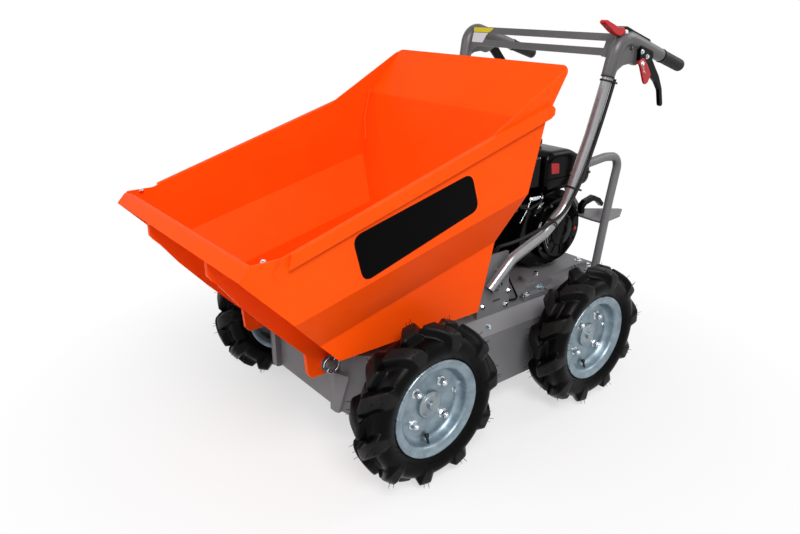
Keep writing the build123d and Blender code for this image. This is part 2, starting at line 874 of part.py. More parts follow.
fin_end = fin_start + fin_count * fin_pitch
with BuildPart() as head:
    with BuildSketch(along_cylinder(cylinder_start)):
        Rectangle(core_width, core_width)
    extrude(amount=fin_end - cylinder_start)
    for n in range(fin_count):
        with BuildSketch(along_cylinder(fin_start + n * fin_pitch)):
            Rectangle(fin_width, fin_height)
        extrude(amount=fin_thickness)
    with BuildSketch(along_cylinder(fin_end)):
        Rectangle(fin_width - 8, fin_height - 8)
    extrude(amount=valve_cover_step)
    with BuildSketch(along_cylinder(fin_end + valve_cover_step)):
        Rectangle(fin_width - 34, fin_height - 20)
    extrude(amount=valve_cover_depth)
    valve_cover_face = max(head.faces(), key=lambda face: face.center().dot(cylinder_dir))
    chamfer(valve_cover_face.edges(), valve_cover_chamfer)
    add(block.part, mode=Mode.SUBTRACT)
save(head, "cylinder_head")

# fan housing with its snout over the cylinder, and the starter dome on its face. columns: x, z
snout_outline = [
    (crank_x, crank_z + snout_half_height), (-345, 528), (-292, 500), (-268, 430), (-272, 352), (-330, 322),
    (crank_x, crank_z - snout_half_height),
]
with BuildPart() as cover:
    with BuildSketch(lengthwise(crankcase_left_y)):
        with Locations((crank_x, crank_z)):
            Circle(fan_radius)
        with BuildLine():
            Polyline(*snout_outline, close=True)
        make_face()
    extrude(amount=-fan_depth)
    dome_y = crankcase_left_y + fan_depth
    dome_steps = [(recoil_radius, recoil_depth), (recoil_radius - recoil_step, recoil_depth + recoil_rise)]
    for radius, depth in dome_steps:
        with BuildSketch(lengthwise(dome_y)):
            with Locations((crank_x, crank_z)):
                Circle(radius)
        extrude(amount=-depth)
    with BuildSketch(lengthwise(dome_y + recoil_depth + recoil_rise)):
        with Locations((crank_x, crank_z)):
            with PolarLocations(slot_circle, recoil_slots):
                Rectangle(slot_length, slot_width)
    extrude(amount=slot_depth, mode=Mode.SUBTRACT)
    add(head.part, mode=Mode.SUBTRACT)
save(cover, "recoil_cover")

# fuel tank seen from the side. columns: x, z
tank_outline = [
    (tank_front_x - 14, tank_bottom_z), (tank_front_x, tank_bottom_z + 16), (tank_front_x, tank_top_z - 20),
    (tank_front_x - 18, tank_top_z), (tank_ridge_x, tank_top_z), (tank_rear_x + 10, tank_top_z - tank_fall),
    (tank_rear_x, tank_top_z - tank_fall - 14), (tank_rear_x, tank_bottom_z + 16),
    (tank_rear_x + 14, tank_bottom_z),
]
seam_z = (tank_bottom_z + tank_top_z - tank_fall) / 2
with BuildPart() as tank:
    with BuildSketch(lengthwise(0)):
        with BuildLine():
            Polyline(*tank_outline, close=True)
        make_face()
    extrude(amount=tank_half_width, both=True)
    for tank_side in (max(tank.faces(), key=lambda face: side * face.center().Y) for side in (1, -1)):
        chamfer(tank_side.edges(), tank_edge)
    with BuildSketch(Plane.XY.offset(seam_z)):
        with Locations(((tank_front_x + tank_rear_x) / 2, 0)):
            Rectangle(tank_front_x - tank_rear_x + 2 * seam_reach, 2 * (tank_half_width + seam_reach))
    extrude(amount=seam_thickness / 2, both=True)
    with BuildSketch(Plane.XY.offset(tank_top_z)):
        with Locations((cap_x, 0)):
            RegularPolygon(neck_radius, 12)
    extrude(amount=neck_height)
    with BuildSketch(Plane.XY.offset(tank_top_z + neck_height)):
        with Locations((cap_x, 0)):
            RegularPolygon(cap_radius, 12)
    extrude(amount=cap_height)
save(tank, "fuel_tank")

stay_foot_z = tank_bottom_z - stay_depth
# seen from the side. columns: x, z
stay_outline = [
    (stay_rear_x + stay_rear_cut, stay_foot_z), (stay_front_x - stay_corner, stay_foot_z),
    (stay_front_x, stay_foot_z + stay_corner), (stay_front_x, tank_bottom_z), (stay_rear_x, tank_bottom_z),
    (stay_rear_x, stay_foot_z + stay_corner),
]
with BuildPart() as stays:
    with BuildSketch(lengthwise(0)):
        with BuildLine():
            Polyline(*stay_outline, close=True)
        make_face()
    extrude(amount=stay_half_width, both=True)
    for form in (head.part, cover.part, gate.part):
        add(form, mode=Mode.SUBTRACT)
save(stays, "tank_stays")

with BuildPart() as cleaner:
    with BuildSketch(Plane.XY.offset(cleaner_z)):
        with Locations((cleaner_x, cleaner_y)):
            Rectangle(cleaner_length, cleaner_width)
    extrude(amount=cleaner_height)
    chamfer(max(cleaner.faces(), key=lambda face: face.center().Z).edges(), cleaner_edge)
    with BuildSketch(Plane.XY.offset(cleaner_z + cleaner_height)):
        with Locations((cleaner_x, cleaner_y)):
            RegularPolygon(9, 6)
    extrude(amount=10)
    # intake elbow down to the cylinder head
    with BuildSketch(Plane.XY.offset(cleaner_z)):
        with Locations((cleaner_x, cleaner_y - 15)):
            Rectangle(44, 40)
    extrude(amount=-intake_drop)
    for form in (head.part, cover.part):
        add(form, mode=Mode.SUBTRACT)
save(cleaner, "air_cleaner")

with BuildPart() as silencer:
    with BuildSketch(Plane.XY.offset(muffler_z)):
        with Locations((cleaner_x, muffler_y)):
            Rectangle(muffler_length, muffler_width)
    extrude(amount=muffler_height)
    chamfer(silencer.edges().filter_by(Axis.Y), muffler_edge)
    # louvres in the guard
    for n in range(louvre_count):
        with BuildSketch(Plane.XY.offset(muffler_z + muffler_height)):
            with Locations((cleaner_x, muffler_y + (n - (louvre_count - 1) / 2) * louvre_pitch)):
                Rectangle(muffler_length - 50, 5)
        extrude(amount=-4, mode=Mode.SUBTRACT)
    with BuildSketch(Plane.XY.offset(muffler_z)):
        with Locations((cleaner_x, muffler_y + 20)):
            Rectangle(36, 34)
    extrude(amount=-muffler_drop)
    add(head.part, mode=Mode.SUBTRACT)
save(silencer, "muffler")
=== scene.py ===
import json
from collections import namedtuple
from math import ceil, cos, pi, radians, sin, tan

import bmesh
import bpy
import numpy as np
from mathutils import Matrix, Vector


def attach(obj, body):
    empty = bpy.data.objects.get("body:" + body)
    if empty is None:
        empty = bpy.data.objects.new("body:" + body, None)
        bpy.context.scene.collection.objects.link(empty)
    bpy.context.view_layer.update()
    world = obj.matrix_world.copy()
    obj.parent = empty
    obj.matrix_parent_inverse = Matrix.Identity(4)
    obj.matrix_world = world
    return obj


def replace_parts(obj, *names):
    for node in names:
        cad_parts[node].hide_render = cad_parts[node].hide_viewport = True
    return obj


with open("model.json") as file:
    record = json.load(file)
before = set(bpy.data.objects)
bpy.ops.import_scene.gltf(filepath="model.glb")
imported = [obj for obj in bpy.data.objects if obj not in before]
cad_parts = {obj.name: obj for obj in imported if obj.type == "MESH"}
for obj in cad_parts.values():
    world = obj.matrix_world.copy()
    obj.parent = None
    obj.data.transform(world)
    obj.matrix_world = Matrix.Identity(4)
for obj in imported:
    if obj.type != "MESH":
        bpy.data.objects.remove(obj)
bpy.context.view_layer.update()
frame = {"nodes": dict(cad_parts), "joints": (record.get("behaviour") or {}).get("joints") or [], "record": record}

# A site dumper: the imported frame, dressed as in its photograph. X points forward, Y to the left and
# Z up. Sizes and places are in millimetres. Materials, floor, lamps and camera use metres.
MM = 0.001
JOINTS = {joint["name"]: joint for joint in frame["joints"]}

# ------------ materials
# what a piece is made of, and the material slot of the record that this comes under
Look = namedtuple("Look", "material slot")


def feed(tree, node, inputs):
    """Link the inputs that are given as sockets, and set the others to their values."""
    for key, value in inputs.items():
        if isinstance(value, bpy.types.NodeSocket):
            tree.links.new(value, node.inputs[key])
        else:
            node.inputs[key].default_value = value


def add_node(tree, kind, inputs=None, **settings):
    """A shader node with its settings and its inputs, by name or by number."""
    node = tree.nodes.new(kind)
    for key, value in settings.items():
        setattr(node, key, value)
    feed(tree, node, inputs or {})
    return node


def new_material(name):
    """A material, its node tree and its Principled shader."""
    material = bpy.data.materials.new(name)
    material.use_nodes = True
    tree = material.node_tree
    return material, tree, tree.nodes["Principled BSDF"]


def object_place(tree):
    """The place on the piece, in its own metres."""
    return add_node(tree, "ShaderNodeTexCoord").outputs["Object"]


def maths(tree, operation, first, second):
    node = add_node(tree, "ShaderNodeMath", {0: first, 1: second}, operation=operation)
    return node.outputs["Value"]


def map_range(tree, value, from_min=0.0, from_max=1.0, to_min=0.0, to_max=1.0):
    """A value carried from one range to another, and kept inside it."""
    return add_node(tree, "ShaderNodeMapRange", {
        "Value": value, "From Min": from_min, "From Max": from_max, "To Min": to_min,
        "To Max": to_max,
    }).outputs["Result"]


def noise(tree, place, scale, detail, roughness=0.5):
    return add_node(tree, "ShaderNodeTexNoise", {
        "Vector": place, "Scale": scale, "Detail": detail, "Roughness": roughness,
    }).outputs["Fac"]


def ramp(tree, value, stops):
    """The colour for a value, between two stops. columns: value, colour"""
    node = add_node(tree, "ShaderNodeValToRGB", {"Fac": value})
    for element, (position, colour) in zip(node.color_ramp.elements, stops):
        element.position = position
        element.color = (*colour, 1)
    return node.outputs["Color"]


def blend_colour(tree, factor, first, second):
    node = add_node(tree, "ShaderNodeMix", {0: factor, 6: first, 7: second}, data_type="RGBA")
    return node.outputs[2]


def relief(tree, height, strength, distance, **below):
    """The surface's direction with bumps, on top of another one if that is given as Normal."""
    inputs = {"Height": height, "Strength": strength, "Distance": distance, **below}
    return add_node(tree, "ShaderNodeBump", inputs).outputs["Normal"]


def edge_mask(tree):
    """1 where a rounded corner would bend the surface, 0 on flat faces."""
    corner = add_node(tree, "ShaderNodeBevel", {"Radius": 0.0012}, samples=4)
    face = add_node(tree, "ShaderNodeNewGeometry")
    dot = add_node(tree, "ShaderNodeVectorMath", {
        0: corner.outputs["Normal"], 1: face.outputs["Normal"],
    }, operation="DOT_PRODUCT")
    return map_range(tree, dot.outputs["Value"], from_min=0.985, from_max=0.90)


def finish(name, colour, dark, rough, spread, slot=None, metal=0.0, scale=6.0, grain=0.02,
           coat=0.0, edge_wear_and_highlight=None, waves=0.0, worn=None, shine=0.5):
    """A paint, plastic, rubber or metal, mottled from dark to colour, with uneven gloss and grain.
    edge colour: that of corners where the paint has worn, with a painted highlight along them. waves: the strength
    of slow waves.
    worn: the colour where the mesh's attribute of that name is 1. The slot has the finish's name, unless it is
    given.
    """
    material, tree, shader = new_material(name)
    place = object_place(tree)
    mottle = noise(tree, place, scale, 6.0, 0.6)
    base = ramp(tree, mottle, [(0.3, dark), (0.62, colour)])
    if worn:
        mask = add_node(tree, "ShaderNodeAttribute", attribute_name="worn").outputs["Fac"]
        worn_dark = tuple(0.75 * c for c in worn)
        base = blend_colour(tree, mask, base, ramp(tree, mottle, [(0.3, worn_dark), (0.7, worn)]))
    # worn paint on the corners, which also serves as a painted highlight along them
    if edge_wear_and_highlight:
        patches = map_range(tree, noise(tree, place, 60.0, 4.0), from_min=0.42, from_max=0.62)
        rubbed_and_highlit = add_node(tree, "ShaderNodeRGB").outputs[0]
        rubbed_and_highlit.default_value = (*edge_wear_and_highlight, 1)
        base = blend_colour(tree, maths(tree, "MULTIPLY", edge_mask(tree), patches), base, rubbed_and_highlit)
    below = {"Normal": relief(tree, noise(tree, place, 7.0, 1.0), waves, 0.02)} if waves else {}
    feed(tree, shader, {
        "Base Color": base,
        "Roughness": map_range(tree, mottle, to_min=rough - spread, to_max=rough + spread),
        "Normal": relief(tree, noise(tree, place, 220.0, 3.0), grain, 0.001, **below),
        "Metallic": metal, "Specular IOR Level": shine, "Coat Weight": coat,
        "Coat Roughness": 0.12,
    })
    return Look(material, slot or name)


# the edge colours are worn paint and a painted highlight on the corners
ORANGE_PAINT = finish("orange_paint", (1.0, 0.088, 0.003), (0.96, 0.078, 0.002), 0.42, 0.05,
                      grain=0.05, coat=0.02, waves=0.05, edge_wear_and_highlight=(1.0, 0.15, 0.015), shine=0.06)
GREY_PAINT = finish("grey_paint", (0.165, 0.163, 0.172), (0.130, 0.128, 0.135), 0.42, 0.07,
                    grain=0.08, waves=0.04, edge_wear_and_highlight=(0.28, 0.28, 0.285), shine=0.35)
BLACK_PAINT = finish("black_paint", (0.0022, 0.0022, 0.0024), (0.0012, 0.0012, 0.0014), 0.16, 0.05,
                     grain=0.05, coat=0.03, edge_wear_and_highlight=(0.008, 0.008, 0.0085), shine=0.07)
GALVANISED = finish("galvanised", (0.27, 0.345, 0.39), (0.15, 0.20, 0.24), 0.38, 0.10,
                    metal=0.7, scale=30.0, edge_wear_and_highlight=(0.72, 0.77, 0.80))
HUB_STEEL = finish("hub_steel", (0.60, 0.64, 0.66), (0.42, 0.46, 0.49), 0.26, 0.08,
                   metal=1.0, scale=30.0)
TYRE_RUBBER = finish("tyre_rubber", (0.0022, 0.0023, 0.0026), (0.0012, 0.0013, 0.0015), 0.30, 0.08,
                     grain=0.15, worn=(0.014, 0.0135, 0.0138), shine=0.06)
BLACK_RUBBER = finish("black_rubber", (0.005, 0.005, 0.005), (0.003, 0.003, 0.003), 0.5, 0.08,
                      grain=0.25, shine=0.25)
GREY_PLASTIC = finish("grey_plastic", (0.085, 0.081, 0.085), (0.064, 0.061, 0.064), 0.36, 0.07,
                      grain=0.1)
RED_PLASTIC = finish("red_plastic", (0.50, 0.006, 0.010), (0.38, 0.004, 0.008), 0.30, 0.06,
                     coat=0.15, shine=0.25)
SLOT_LOOKS = {look.slot: look for look in (
    ORANGE_PAINT, GREY_PAINT, BLACK_PAINT, GALVANISED, HUB_STEEL, TYRE_RUBBER, BLACK_RUBBER,
    GREY_PLASTIC, RED_PLASTIC,
)}
TUBE_PAINT = finish("tube_paint", (0.30, 0.30, 0.31), (0.23, 0.23, 0.24), 0.27, 0.06,
                    slot="grey_paint", metal=0.55, grain=0.06, coat=0.2)
BARE_STEEL = finish("bare_steel", (0.72, 0.74, 0.76), (0.54, 0.56, 0.58), 0.20, 0.07,
                    slot="hub_steel", metal=1.0, scale=60.0)
HUB_ZINC = finish("hub_zinc", (0.30, 0.35, 0.375), (0.19, 0.23, 0.255), 0.32, 0.08,
                  slot="hub_steel", metal=0.8, scale=30.0)
DARK_STEEL = finish("dark_steel", (0.08, 0.08, 0.083), (0.045, 0.045, 0.047), 0.35, 0.08,
                    slot="black_paint", metal=0.8, scale=60.0)
DARK_BOLT = DARK_STEEL._replace(slot="hub_steel")
PLATE_GREY = finish("plate_grey", (0.090, 0.088, 0.092), (0.068, 0.066, 0.070), 0.38, 0.07,
                    grain=0.06, edge_wear_and_highlight=(0.22, 0.22, 0.225))
PLATE_BLACK = finish("plate_black", (0.0015, 0.0015, 0.0018), (0.001, 0.001, 0.001), 0.40, 0.05,
                     slot="black_paint", shine=0.03)
LABEL_YELLOW = finish("label_yellow", (0.70, 0.56, 0.01), (0.62, 0.50, 0.01), 0.45, 0.05,
                      slot="grey_paint", grain=0.03)
LABEL_WHITE = finish("label_white", (0.70, 0.70, 0.74), (0.62, 0.62, 0.66), 0.45, 0.05,
                     slot="grey_paint", grain=0.03)

# ------------ forms
# a form is a list of points, in metres, and a list of faces


def joined(forms):
    """One form from several."""
    points, faces = [], []
    for more_points, more_faces in forms:
        start = len(points)
        points += [tuple(p) for p in more_points]
        faces += [tuple(start + k for k in face) for face in more_faces]
    return points, faces


def placed(form, matrix):
    """The form moved by a matrix."""
    points, faces = form
    return [matrix @ Vector(p) for p in points], faces


def mirrored(form):
    """The form on the other side of the machine."""
    points, faces = form
    return [(x, -y, z) for x, y, z in points], [face[::-1] for face in faces]


def handed(form, side):
    """The form for the left side, which is 1, or the right side, which is -1."""
    return form if side > 0 else mirrored(form)


def each_side(form):
    """The form on both sides of the machine."""
    return joined([form, mirrored(form)])


def facing(place, direction, spin=0.0):
    """A matrix that turns +Y to a direction and moves the origin to a place."""
    turn = Vector(direction).to_track_quat("Y", "Z").to_matrix().to_4x4()
    return Matrix.Translation(Vector(place) * MM) @ turn @ Matrix.Rotation(spin, 4, "Y")


def skin(rings, around):
    """Faces between rings of points that follow each other."""
    faces = []
    for here in range(0, (rings - 1) * around, around):
        for n in range(around):
            m = (n + 1) % around
            faces.append((here + n, here + m, here + around + m, here + around + n))
    return faces


def end_caps(count, around):
    """Faces that close the first and the last ring of a number of points."""
    return [tuple(range(around))[::-1], tuple(range(count - around, count))]


def lathe(profile, segments, closed=False):
    """A profile turned about the Y axis. columns: radius, distance along Y"""
    points, faces = [], []
    for n in range(segments):
        a = 2 * pi * n / segments
        points += [(r * MM * cos(a), y * MM, r * MM * sin(a)) for r, y in profile]
    count = len(profile)
    for n in range(segments):
        here, there = n * count, (n + 1) % segments * count
        for k in range(count if closed else count - 1):
            j = (k + 1) % count
            faces.append((here + k, here + j, there + j, there + k))
    return points, faces


def pipe(route, radius, sides, caps=True):
    """A tube along a route. The radius is one number, or one for each point of the route."""
    route = [Vector(p) for p in route]
    radii = radius if isinstance(radius, (list, tuple)) else [radius] * len(route)
    points = []
    side = (route[1] - route[0]).normalized().orthogonal().normalized()
    for k, centre in enumerate(route):
        ahead = (route[min(k + 1, len(route) - 1)] - route[max(k - 1, 0)]).normalized()
        side = (side - side.dot(ahead) * ahead).normalized()
        other = ahead.cross(side)
        for n in range(sides):
            a = 2 * pi * n / sides
            points.append((centre + radii[k] * (cos(a) * side + sin(a) * other)) * MM)
    faces = skin(len(route), sides)
    if caps:
        faces += end_caps(len(points), sides)
    return points, faces


def plate(outline, low, high, flat=False):
    """A plate from one level to another. It stands across Y with its outline in X and Z or, if it
    is flat, lies across Z with its outline in X and Y.
    """
    count = len(outline)
    levels = (low * MM, high * MM)
    if flat:
        points = [(u * MM, v * MM, level) for level in levels for u, v in outline]
    else:
        points = [(u * MM, level, v * MM) for level in levels for u, v in outline]
    faces = [tuple(range(count)), tuple(range(2 * count - 1, count - 1, -1))]
    return points, faces + skin(2, count)


def corner_arc(corners, radius, steps=4):
    """An outline in two dimensions with its corners rounded."""
    outline = []
    for k, corner in enumerate(corners):
        here = Vector(corner)
        back = Vector(corners[k - 1]) - here
        ahead = Vector(corners[(k + 1) % len(corners)]) - here
        reach = min(radius, 0.45 * back.length, 0.45 * ahead.length)
        first, last = here + back.normalized() * reach, here + ahead.normalized() * reach
        for n in range(steps + 1):
            t = n / steps
            outline.append(tuple((1 - t) ** 2 * first + 2 * t * (1 - t) * here + t * t * last))
    return outline


ARC_STEP = radians(6)


def rounded_route(corners, radii):
    """Points along straight runs that are joined by arcs."""
    route = [Vector(corners[0])]
    for k in range(1, len(corners) - 1):
        here = Vector(corners[k])
        back = (Vector(corners[k - 1]) - here).normalized()
        ahead = (Vector(corners[k + 1]) - here).normalized()
        turn = pi - back.angle(ahead)
        reach = radii[k - 1] * tan(turn / 2)
        centre = here + (back + ahead).normalized() * (radii[k - 1] / cos(turn / 2))
        first = here + back * reach - centre
        last = here + ahead * reach - centre
        steps = max(2, ceil(turn / ARC_STEP))
        for n in range(steps + 1):
            left, gone = (1 - n / steps) * turn, n / steps * turn
            route.append(centre + first * (sin(left) / sin(turn)) + last * (sin(gone) / sin(turn)))
    route.append(Vector(corners[-1]))
    return route


def bolt_head(size, height, washer):
    """A hexagon head with a chamfered top, on a washer of that radius, standing along +Y."""
    flat, foot = size / 2, 0.12 * size
    rings = [(flat, foot), (flat, foot + 0.8 * height), (0.86 * flat, foot + height),
             (0.01, foot + height)]
    return joined([lathe([(0.01, 0), (washer, 0), (washer, foot), (0.01, foot)], 20),
                   lathe(rings, 6)])


# ------------ pieces
LEFT, UP, FORWARD = (0, 1, 0), (0, 0, 1), (1, 0, 0)


def hand_name(name, side):
    return name + ("_left" if side > 0 else "_right")


def shape(name, form, look, body="chassis", crease=30):
    """A mesh piece that rides on a body. Edges sharper than the crease angle stay sharp."""
    points, faces = form
    mesh = bpy.data.meshes.new(name)
    mesh.from_pydata([tuple(p) for p in points], [], faces)
    mesh.materials.append(look.material)
    mesh.shade_smooth()
    mesh.set_sharp_from_angle(angle=radians(crease))
    piece = bpy.data.objects.new(name, mesh)
    bpy.context.scene.collection.objects.link(piece)
    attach(piece, body)
    return piece


def detail(name, forms, look, body="chassis", crease=30):
    """A piece from several forms, with its faces turned outwards."""
    piece = shape(name, joined(forms), look, body, crease)
    work = bmesh.new()
    work.from_mesh(piece.data)
    bmesh.ops.recalc_face_normals(work, faces=work.faces)
    work.to_mesh(piece.data)
    work.free()
    return piece


def both_sides(name, forms, look, node=None, crease=30):
    """A left piece and its mirror image, which can stand for a pair of CAD nodes."""
    pieces = []
    for side in (1, -1):
        piece = detail(hand_name(name, side), [handed(joined(forms), side)], look, crease=crease)
        if node:
            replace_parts(piece, hand_name(node, side))
        pieces.append(piece)
    return pieces


def bolts(name, places, direction, size, height, washer, look=BARE_STEEL, body="chassis"):
    """Bolt heads in one piece, each turned a little further."""
    head = bolt_head(size, height, washer)
    detail(name, [placed(head, facing(place, direction, spin=0.7 * k))
                  for k, place in enumerate(places)], look, body)


def bolts_each_side(name, places, direction, **options):
    """The same bolts on the left and on the right. Places and direction are those of the left."""
    for side in (1, -1):
        bolts(hand_name(name, side), [(x, side * y, z) for x, y, z in places],
              (direction[0], side * direction[1], direction[2]), **options)


def soften(piece, width, segments=2):
    """Rounded edges with clean shading."""
    bevel = piece.modifiers.new("soft_edges", "BEVEL")
    bevel.width = width * MM
    bevel.segments = segments
    bevel.limit_method = "ANGLE"
    bevel.angle_limit = radians(30)
    bevel.harden_normals = True


def melt(piece, voxel, rounds):
    """Soft fillets all over a piece, as on a moulding."""
    grid = piece.modifiers.new("melt", "REMESH")
    grid.mode = "VOXEL"
    grid.voxel_size = voxel * MM
    grid.use_smooth_shade = True
    ease = piece.modifiers.new("ease", "SMOOTH")
    ease.factor = 0.5
    ease.iterations = rounds


# ------------ CAD nodes that stay
# columns: start of the node's name, width of the rounded edge
ROUNDED = [
    ("hopper_shell", 1.2), ("hopper_rib", 1.5), ("chassis_box", 5.0), ("pivot_posts", 2.0),
    ("pivot_bar", 1.0), ("handle_bracket", 1.2), ("engine_deck", 1.5), ("engine_block", 3.0),
    ("recoil_cover", 2.5), ("tank_stays", 2.0), ("air_cleaner", 6.0), ("muffler", 2.0),
    ("cylinder_head", 0.8), ("gate_plate", 1.5), ("crossbar_strips", 1.0), ("hopper_rests", 2.0),
    ("axle_housings", 1.5), ("gear_lever", 3.0),
]
WIDE_EDGE = 4.0


def dress_frame():
    """Give every CAD node the look of its material slot, and round the edges of those that stay."""
    for part in frame["record"]["subparts"]:
        node = frame["nodes"][part["node"]]
        node.data.materials.clear()
        node.data.materials.append(SLOT_LOOKS[part["material_slot"]].material)
        for start, width in ROUNDED:
            if part["node"].startswith(start):
                soften(node, width, 3 if width > WIDE_EDGE else 2)


dress_frame()
frame["nodes"]["crossbar_strips"].data.materials[0] = PLATE_GREY.material

# ------------ wheels
TYRE_RADIUS = 200.0
LUGS = 10
LUG_PITCH = 2 * pi / LUGS
LUG_ANGLE = radians(40)
# from the bead up the sidewall, then the carcass or the top of a lug. columns: radius, distance out
WALL_LINE = [(103.5, 26), (112, 30), (121, 33.6), (126, 40), (136, 47)]
CARCASS_LINE = WALL_LINE + [(150, 50), (161, 48), (169, 42), (174, 34), (177, 22), (178, 10),
                            (178.5, 0)]
LUG_LINE = WALL_LINE + [(150, 50.6), (168, 51.5), (183, 50.5), (191, 42), (196.5, 28), (199, 12),
                        (200, 0)]
ROUND_STEPS, HALF_STEPS = 600, 34       # mesh steps round the tyre, and from its bead to its middle
LUG_RISE = (138, 152)                   # radii between which a lug rises from the sidewall
LUG_WIDENS = (136, 182)                 # radii between which it widens
LUG_TOP_WIDTHS, LUG_FOOT_WIDTHS = (4, 12.5), (10, 25)       # half widths at those radii
LUG_END = (-15, -6)                     # it ends here, past the middle of the tyre
LUG_MEASURE_RADIUS = 190
LUG_HALVES = ((1, 0.0), (-1, LUG_PITCH / 2))        # side of the tyre, angle of its first lug


def sampled(line, count):
    """A line through points, sampled evenly by its index."""
    where = np.linspace(0, len(line) - 1, count)
    index = np.arange(len(line))
    return np.array([np.interp(where, index, [p[k] for p in line]) for k in (0, 1)]).T


def eased(line, rounds):
    """The same line with its corners eased."""
    line = line.copy()
    for _ in range(rounds):
        line[1:-1] = 0.25 * line[:-2] + 0.5 * line[1:-1] + 0.25 * line[2:]
    return line


def whole(half):
    """A section from bead to bead, from its half."""
    return np.concatenate([half, (half * [1, -1])[-2::-1]])


def lug_lean(out):
    """How far a lug has turned back at a distance out from the tyre's middle."""
    return tan(LUG_ANGLE) * out / TYRE_RADIUS


def lug_mask(angle, radius, out):
    """1 on a lug and 0 between lugs, for each angle and each point of the section."""
    top = np.interp(radius, LUG_WIDENS, LUG_TOP_WIDTHS)
    foot = np.interp(radius, LUG_WIDENS, LUG_FOOT_WIDTHS)
    rise = np.interp(radius, LUG_RISE, (0, 1))
    mask = np.zeros((len(angle), len(radius)))
    for half, start in LUG_HALVES:
        centre = start - lug_lean(np.abs(out))
        off = (angle[:, None] - centre + LUG_PITCH / 2) % LUG_PITCH - LUG_PITCH / 2
        across = np.abs(off) * LUG_MEASURE_RADIUS * cos(LUG_ANGLE)
        flank = np.clip((foot - across) / (foot - top), 0, 1)
        mask = np.maximum(mask, flank * rise * np.interp(half * out, LUG_END, (0, 1)))
    return 0.35 * mask * mask * (3 - 2 * mask) + 0.65 * mask


def tyre_form(side):
    """A bar-lug tyre round the Y axis, and its lug mask as a list along its points."""
    low = whole(eased(sampled(CARCASS_LINE, HALF_STEPS), 4))
    top = whole(eased(sampled(LUG_LINE, HALF_STEPS), 1))
    angle = np.arange(ROUND_STEPS) * 2 * pi / ROUND_STEPS
    mask = lug_mask(angle, *top.T)
    section = low * (1 - mask[:, :, None]) + top * mask[:, :, None]
    radius, out = section[:, :, 0], section[:, :, 1]
    points = np.stack([radius * np.sin(angle)[:, None], out * side,
                       radius * np.cos(angle)[:, None]], axis=2)
    count = len(top)
    faces = []
    for n in range(ROUND_STEPS):
        here, there = n * count, (n + 1) % ROUND_STEPS * count
        faces += [(here + k, there + k, there + k + 1, here + k + 1)[::side]
                  for k in range(count - 1)]
    return (points.reshape(-1, 3) * MM, faces), mask.reshape(-1)


# moulding hairs on a lug. columns: distance out, radius, angle from the lug's middle
LUG_HAIRS = [(30, 197, 0.03), (44, 188, -0.02), (49, 188, 0.05)]
WALL_HAIRS, WALL_HAIR_RADIUS, WALL_HAIR_OUT = 24, 133, 45


def rubber_hairs(side):
    """Moulding hairs on the lugs' outer corners and round the sidewall."""
    hairs = []
    for n in range(LUGS):
        for half, start in LUG_HALVES:
            for out, radius, sway in LUG_HAIRS:
                a = start + n * LUG_PITCH - lug_lean(out) + sway * half
                foot = Vector((radius * sin(a), half * out * side, radius * cos(a)))
                tilt = a + 3 * sway
                way = Vector((sin(tilt), half * side * 0.4, cos(tilt))).normalized()
                hairs.append(pipe([foot - way * 3, foot + way * 5, foot + way * 10],
                                  [0.8, 0.6, 0.35], 5))
    for n in range(WALL_HAIRS):
        a = 2 * pi * (n + 0.3 * sin(3.0 * n)) / WALL_HAIRS
        foot = Vector((WALL_HAIR_RADIUS * sin(a), WALL_HAIR_OUT * side, WALL_HAIR_RADIUS * cos(a)))
        way = Vector((-0.5 * sin(a), side, -0.5 * cos(a))).normalized()
        hairs.append(pipe([foot - way * 2, foot + way * 8], [0.7, 0.35], 5))
    return joined(hairs)


# steel rim, outer face first then back inside. columns: radius, distance out
RIM_SECTION = [
    (15.1, 2), (15.1, 7), (84, 7), (88, 7.6), (90.5, 10), (93, 15), (95, 20), (96.5, 27),
    (98, 32.5), (101, 35.4), (105, 36.2), (109, 36.0), (112, 36.6), (114.5, 38.0), (118, 39.0),
    (120.6, 38.8), (121.6, 37.4), (121.2, 35.6), (119, 35.0), (103, 34.6), (102, 33), (102, -33),
    (103, -34.6), (119, -35), (121.4, -36), (121.4, -38), (118, -39), (110, -38), (101, -36),
    (98, -33), (98, -2), (94, 1), (88, 2),
]
DISC_FACE = 7
HUB_SECTION = [
    (0.01, 23), (9, 23), (10, 22), (10, 18.6), (11, 18.4), (11, 16.4), (26, 16.2), (27, 15.2),
    (30, 15.0), (33, 13.8), (34, 12), (34, 6.5), (15, 6.5), (15, 2),
]
HUB_BACK = [
    (15, 2), (58, 2), (60, 0), (60, -8), (58, -10), (30, -12), (24, -20), (22, -45), (15, -46),
    (15, -82.8), (0.01, -83),
]
# heads on the disc. columns: radius, angle from forward to up, width of head, height, has a stud
WHEEL_BOLTS = [
    (60, 46, 17, 13, True), (60, 125, 17, 13, True), (60, -38, 17, 13, True),
    (60, -137, 17, 13, True), (79, 174, 10, 6, False),
]
VALVE_ANGLE = radians(-84)
VALVE_FOOT, VALVE_TIP = (76, 12), (112, 31)      # radius, distance out
# columns: share of the way from foot to tip, radius of the valve
VALVE_LINE = [(0, 5.5), (0.2, 5.5), (0.24, 3.2), (0.7, 3.0), (0.72, 4.2), (1, 4.0)]


def wheel_nuts():
    """Nuts and studs on the disc of a left wheel."""
    forms = []
    for radius, angle, width, height, studded in WHEEL_BOLTS:
        a = radians(angle)
        place = facing((radius * cos(a), DISC_FACE, radius * sin(a)), LEFT, spin=a)
        forms.append(placed(bolt_head(width, height, 0.68 * width), place))
        if studded:
            stud = [(0.01, height + 6), (4, height + 6), (4.6, height + 5.2), (4.6, 1)]
            forms.append(placed(lathe(stud, 16), place))
    return joined(forms)


def tyre_valve():
    """The valve stem of a left wheel, from the disc to the rim's edge."""
    foot, tip = (Vector((radius * cos(VALVE_ANGLE), out, radius * sin(VALVE_ANGLE)))
                 for radius, out in (VALVE_FOOT, VALVE_TIP))
    return pipe([foot + (tip - foot) * share for share, _ in VALVE_LINE],
                [radius for _, radius in VALVE_LINE], 16)


